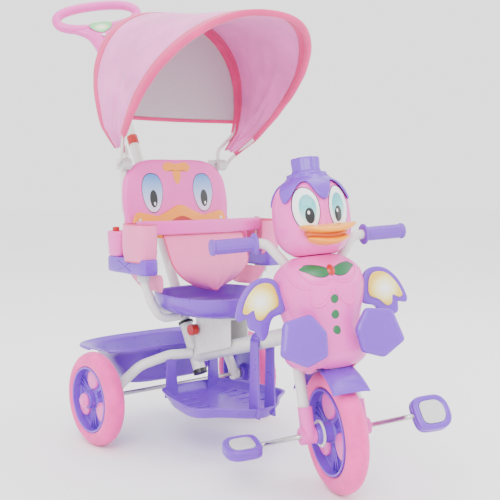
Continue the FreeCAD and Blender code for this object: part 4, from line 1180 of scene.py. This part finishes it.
def backrest():
    m = back_matrix()
    make("backrest_shell", *slab(shape_line(BACK, 120), 20, 0.0, 8, 8.0), "pink_plastic", "seat_unit", m,
         ("backrest_panel",))
    for side in (-1, 1):
        cx = side * 74
        def egg(grow):
            out = []
            for i in range(56):
                t = TAU * i / 56
                z = 46 * math.sin(t)
                x = (32 - 4.0 * (1 - math.sin(t))) * math.copysign(abs(math.cos(t)) ** 0.85, math.cos(t))
                out.append((cx + x * grow, 108 + z * grow))
            return out
        for part, outline, lift, mat in (("line", egg(1.05), 0.25, "dark_line"),
                                         ("fill", egg(1.0), 0.5, "print_blue"),
                                         ("pupil", ellipse(cx + 2, 94, 10.5, 21), 0.8, "ink_black"),
                                         ("glint", ellipse(cx + 4, 82, 2.6, 4.2), 1.05, "eye_white")):
            film(f"back_eye_{LETTER[side]}_{part}", outline, level(-lift), mat, "seat_unit", m)
    tuft = [(-40, 172), (-26, 183), (0, 179), (26, 183), (40, 172), (32, 160), (14, 163), (9, 140), (0, 128),
            (-9, 140),
            (-14, 163), (-32, 160)]
    film("back_tuft", shape_line(tuft, 72), level(-0.5), "yellow_plastic", "seat_unit", m)
    make("back_beak", *slab(shape_line(BEAK, 120), 5.5, 2.0, 8, 2.2), "yellow_plastic", "seat_unit",
         m @ Matrix.Translation((0, -5.5, 0)), ("backrest_beak",))
    mouth = [(-46, 26), (-30, 40), (0, 50), (30, 40), (46, 26), (24, 16), (0, 13), (-24, 16)]
    film("back_mouth", shape_line(mouth, 60), level(-8.0), "red_plastic", "seat_unit", m)


def safety_bar():
    """Flat moulded bar across the seat, bowed forward, with rounded edges."""
    low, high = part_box("safety_bar")
    y0 = at(0, 112, 0).y
    bow = 22 * MM
    half = high.x
    rows = []
    for k in range(61):
        u = -1 + 2 * k / 60
        x = half * u
        y = y0 - bow * (1 - u * u)
        mid = (low.z + high.z) / 2
        ring = []
        for v in oval(0, 0, 0, 6 * MM, 16 * MM, 5.0, 32):
            ring.append(Vector((x, y + v.x, mid + v.y)))
        rows.append(ring)
    solid("guard_bar", rows, "pink_plastic", "safety_bar", replaces=("safety_bar",))


def flap():
    """Soft tongue between the rider's legs: hangs from the bar and bellies towards the front wheel."""
    rows = []
    count, steps = 60, 50
    outline_top, outline_low = 495.0, 366.0
    for k in range(steps + 1):
        v = k / steps
        z = outline_top - (outline_top - outline_low) * v
        half = 112 * math.cos(math.radians(88 * v ** 2.2)) ** 0.8 + 2
        forward = 130 + 44 * math.sin(v * 1.9)
        row = []
        for i in range(count + 1):
            u = -1 + 2 * i / count
            x = half * u
            crease = noise.noise(Vector((u * 2.4, v * 3.0, 1.3))) * 3.0 + 1.2 * math.sin(16 * u + 9
                    * v) * (0.2 + v * 0.5)
            y = forward - 22 * u * u * (0.4 + 0.6 * v) + crease
            row.append(at(x, y, z))
        rows.append(row)
    tongue = solid("front_tongue", rows, "pink_vinyl", "safety_bar", replaces=("front_flap",), thick=1.6,
                   wrap=False, caps=OPEN)
    edge = [row[0] for row in rows] + rows[-1][1:-1] + [row[-1] for row in reversed(rows)]
    solid("tongue_piping", tube_along(edge, 1.9 * MM, 10), "vinyl_trim", "safety_bar")


def side_cloths():
    for side, tag in SIDES:
        rows = []
        for k in range(25):
            v = k / 24
            row = []
            for i in range(41):
                u = i / 40
                fore = 168 - 30 * v * v
                aft = 28 + 40 * v * v
                f = aft + (fore - aft) * u
                x = 150 - 22 * v + 3 * math.sin(7 * u + 2 * v) * v + noise.noise(Vector((u * 3, v * 3,
                        side))) * 3 * v
                row.append(at(side * x, f, 409 - 43 * v))
            rows.append(row)
        piece = solid("side_cloth_" + tag, rows, "pink_vinyl", "seat_unit",
                      replaces=("side_panels",) if side > 0 else (), thick=1.6, wrap=False, caps=OPEN)


ARM_X, ARM_Y = 178, -91      # middle of the arm boxes


def arms():
    for side, tag in SIDES:
        x0 = side * ARM_X
        # moulded box arm with rounded edges and a diamond rib
        rows = []
        for z, a, b in ((410.3, 17, 76), (411, 20, 79), (415, 21.8, 80.8), (428, 22, 81), (441, 21.8, 80.8),
                        (445, 20.6, 79.6), (446, 18, 77)):
            rows.append([from_axle(v) for v in oval(x0, ARM_Y, z, a, b, 7.0, 72)])
        solid("arm_box_" + tag, rows, "purple_plastic", "seat_unit", replaces=("arm_boxes",) if side > 0
              else ())
        for j in (-1, 1):
            a = Vector((x0 + side * 22.2, ARM_Y - 26 * j, 418))
            b = Vector((x0 + side * 22.2, ARM_Y + 26 * j, 438))
            line = [from_axle(p) for p in (a, (a + b) / 2, b)]
            solid(f"arm_rib_{tag}_{j + 2}", tube_along(line, 1.4 * MM, 8), "purple_plastic", "seat_unit")
        rows = []
        for z, a, b in ((446.4, 18, 23), (447, 20, 25), (452, 21, 26), (475, 22.4, 27.4), (498, 23.6, 28.6),
                        (502, 23, 28), (503.6, 21.5, 26.5),
                        (503.6, 19, 24), (501, 17.5, 22.5), (499.5, 9, 9.2), (499.5, 8.8, 8.8)):
            p = 3.0 if a > 10 else 2.0
            rows.append([from_axle(v) for v in oval(x0, -36, z, a, b, p, 64)])
        solid("arm_cup_" + tag, rows, "pink_plastic", "seat_unit", replaces=("arm_cups",) if side > 0 else ())
        # soft wrap round the front of the arm, open towards the bar
        rows = []
        for k in range(33):
            v = k / 32
            z = 440 + 82 * v
            sag = 2.5 * math.sin(math.pi * v)
            ring = []
            for i in range(49):
                t = math.radians(-152 + 304 * i / 48)
                a, b = 25 + sag, 39 + 4 * v + sag
                c, s = math.cos(t), math.sin(t)
                px = a * math.copysign(abs(c) ** 0.6, c)
                py = b * math.copysign(abs(s) ** 0.6, s)
                wob = noise.noise(Vector((c * 2, s * 2 + side * 5, v * 3))) * 2.2
                ring.append(at(x0 + side * (px + wob), 124 + py, z))
            rows.append(ring)
        wrap = solid("arm_wrap_" + tag, rows, "pink_vinyl", "seat_unit",
                     replaces=("arm_sleeves",) if side > 0 else (), thick=2.0, wrap=False, caps=OPEN)
        for z, row in ((441, rows[0]), (521, rows[-1])):
            solid(f"wrap_piping_{tag}_{z}", tube_along(row, 1.7 * MM, 8), "vinyl_trim", "seat_unit")
        for j, f in enumerate((104, 142)):
            rows = []
            for dx, r in ((-27.8, 7), (-29.6, 7), (-30.6, 5.5), (-30.9, 2)):
                rows.append([at(x0 + side * dx, f + r * math.cos(TAU * i / 24), 462 + r
                                * math.sin(TAU * i / 24)) for i in range(24)])
            solid(f"wrap_snap_{tag}_{j + 1}", rows, "black_plastic", "seat_unit")


# ---- basket, footrest, handle -----------------------------------------------------------
WHEEL_IN, WHEEL_CLEAR = 0.197, 0.1155    # the tub is cut away beyond this x, within this radius
FRONT_CUT = 0.060                        # and further ahead of the rear axle than this


def basket():
    cy = 62
    prof = [(124, 60, 26), (124, 112, 46), (126, 120, 52), (140, 130, 59), (165, 150, 73), (190, 163, 83),
            (208, 172, 89),
            (214, 186, 93), (217, 204, 98), (220, 212, 99.5), (219, 214, 100), (214, 214, 100)]
    rows = []
    for z, a, b in prof:
        ring = []
        for v in oval(0, cy, z, a, b, 3.2, 120):
            ring.append(from_axle(v))
        rows.append(ring)
    verts, faces = skin(rows, True, (True, False))
    keep = []
    for f in faces:
        c = sum((verts[i] for i in f), Vector()) / len(f)
        near_wheel = abs(c.x) > WHEEL_IN and (c - Vector((c.x, REAR_Y, TYRE_R))).length < WHEEL_CLEAR
        if c.y >= REAR_Y - FRONT_CUT and not near_wheel:
            keep.append(f)
    make("basket_tub", verts, keep, "purple_plastic", "frame", replaces=("rear_basket",), thick=3.0, subdiv=1)
    for k in range(-2, 3):
        line = [at(k * 40, -cy + d, 126.5) for d in (-44, 0, 44)]
        solid(f"basket_rib_{k + 3}", tube_along(line, 2.2 * MM, 8), "purple_plastic", "frame")


TRAY = [(-70, 62), (-104, 104), (-124, 184), (-132, 262), (-86, 300), (-32, 352)]


def tray_line(grow, count=120):
    """Footrest outline grown outward, level with the floor."""
    pts = []
    for side, run in ((1, TRAY), (-1, list(reversed(TRAY)))):
        for x, f in run:
            pts.append(Vector((side * (x - grow), f + (grow if f > 180 else -grow), 0)))
    return smooth_line(pts, count, True)


def strap(name, x, f, half_x, half_f, low, high):
    """A flat hanger with a flared foot."""
    rows = []
    for k in range(13):
        v = k / 12
        grow = 1.0 + 0.35 * (1 - v) ** 2
        rows.append([at(x + p.x * (grow if half_x > half_f else 1), f + p.y
                        * (grow if half_f > half_x else 1),
                        low + (high - low) * v) for p in oval(0, 0, 0, half_x, half_f, 6.0, 24)])
    solid(name, rows, "purple_plastic", "frame")


def footrest():
    """Two-lobed tray with a rolled rim, hung on straps from the main tube and the rear stays."""
    rows = []
    for z, grow in ((100.5, -18), (100.3, -12), (102, -10.5), (108, -8), (118, -3), (123, -0.5),
                    (125.5, -0.5), (126, -2),
                    (125, -5), (120, -7), (110, -11), (106, -14), (104.5, -20)):
        rows.append([at(p.x, p.y, z) for p in tray_line(grow)])
    for end, z in ((0, 100.5), (-1, 104.5)):
        centre = at(0, 200, z)
        inner = [centre.lerp(Vector((p.x, p.y, z * MM)), 0.4) for p in rows[end]]
        rows.insert(0 if end == 0 else len(rows), inner)
    solid("footrest_tray", rows, "purple_plastic", "frame", replaces=("footrest",))
    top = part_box("footrest_clamps")[1].z / MM - 20
    for side, tag in LETTER.items():
        strap("footrest_strut_front_" + tag, side * 22, 338, 2.6, 14, 102, top)
        strap("footrest_strut_rear_" + tag, side * 62, 72, 14, 3, 102, 194)
        # raised sole ribs in each lobe
        for k in range(4):
            line = [at(side * x, 128 + 36 * k, 105.4) for x in (44, 68, 92)]
            solid(f"footrest_rib_{tag}{k + 1}", tube_along(line, 2.0 * MM, 8), "purple_plastic", "frame")


HANDLE_TURN = math.radians(-22)


def pole_matrix(distance):
    """Millimetres about a point on the push pole, up the pole, to metres."""
    pole = Vector(joint("pole_lift")["axis"]).normalized()
    x = Vector((1, 0, 0))
    m = Matrix((x, pole.cross(x), pole)).transposed().to_4x4() @ Matrix.Scale(MM, 4)
    m.translation = at(0, 101, 165) + pole * distance * MM
    return m


def push_handle():
    m = pole_matrix(913) @ Matrix.Rotation(HANDLE_TURN, 4, "Z")
    path = [Vector((p.x, 0, 104 + p.y)) for p in oval(0, 0, 0, 111, 35.5, 2.4, 96)]
    rings = tube_along(path, 12.8, 24, True, up=Vector((0, 1, 0)))
    solid("handle_ring", rings, "pink_plastic", "push_pole", m, ("push_handle",), subdiv=1, caps=OPEN)
    rows = []
    for z, a, b in ((-25, 12, 10), (-24, 18, 14), (-14, 23, 17), (6, 28, 17.4), (28, 34, 17), (44, 42, 15.6),
                    (54, 58, 14), (62, 74, 12.5), (68, 80, 10)):
        rows.append(oval(0, 0, z, a, b, 2.8, 64))
    solid("handle_neck", rows, "pink_plastic", "push_pole", m, subdiv=1)
    patch = ((-30, 74), (0, 78), (30, 74), (24, 56), (0, 44), (-24, 56))
    film("handle_badge", shape_line(patch, 60), lambda x, z: -16.4 + 0.03 * (z - 44), "badge_green",
         "push_pole", m, thick=0.8)
    band = rounded([(0, 12.7), (0, 14.2), (24, 14.2), (24, 12.7)], 3, 0.3)
    rows = [[Vector((r * math.cos(TAU * i / 48), r * math.sin(TAU * i / 48), z)) for i in range(48)]
            for z, r in band + band[:1]]
    solid("pole_band", rows, "red_plastic", "push_pole", pole_matrix(618), caps=OPEN)


# ---- run --------------------------------------------------------------------------------
camera()
studio()
wheels()
duck_head()
duck_bill()
duck_crown()
duck_body()
limbs()
fender()
grips()
pedals()
canopy()
rear_window()
seat()
backrest()
safety_bar()
flap()
side_cloths()
arms()
basket()
footrest()
push_handle()
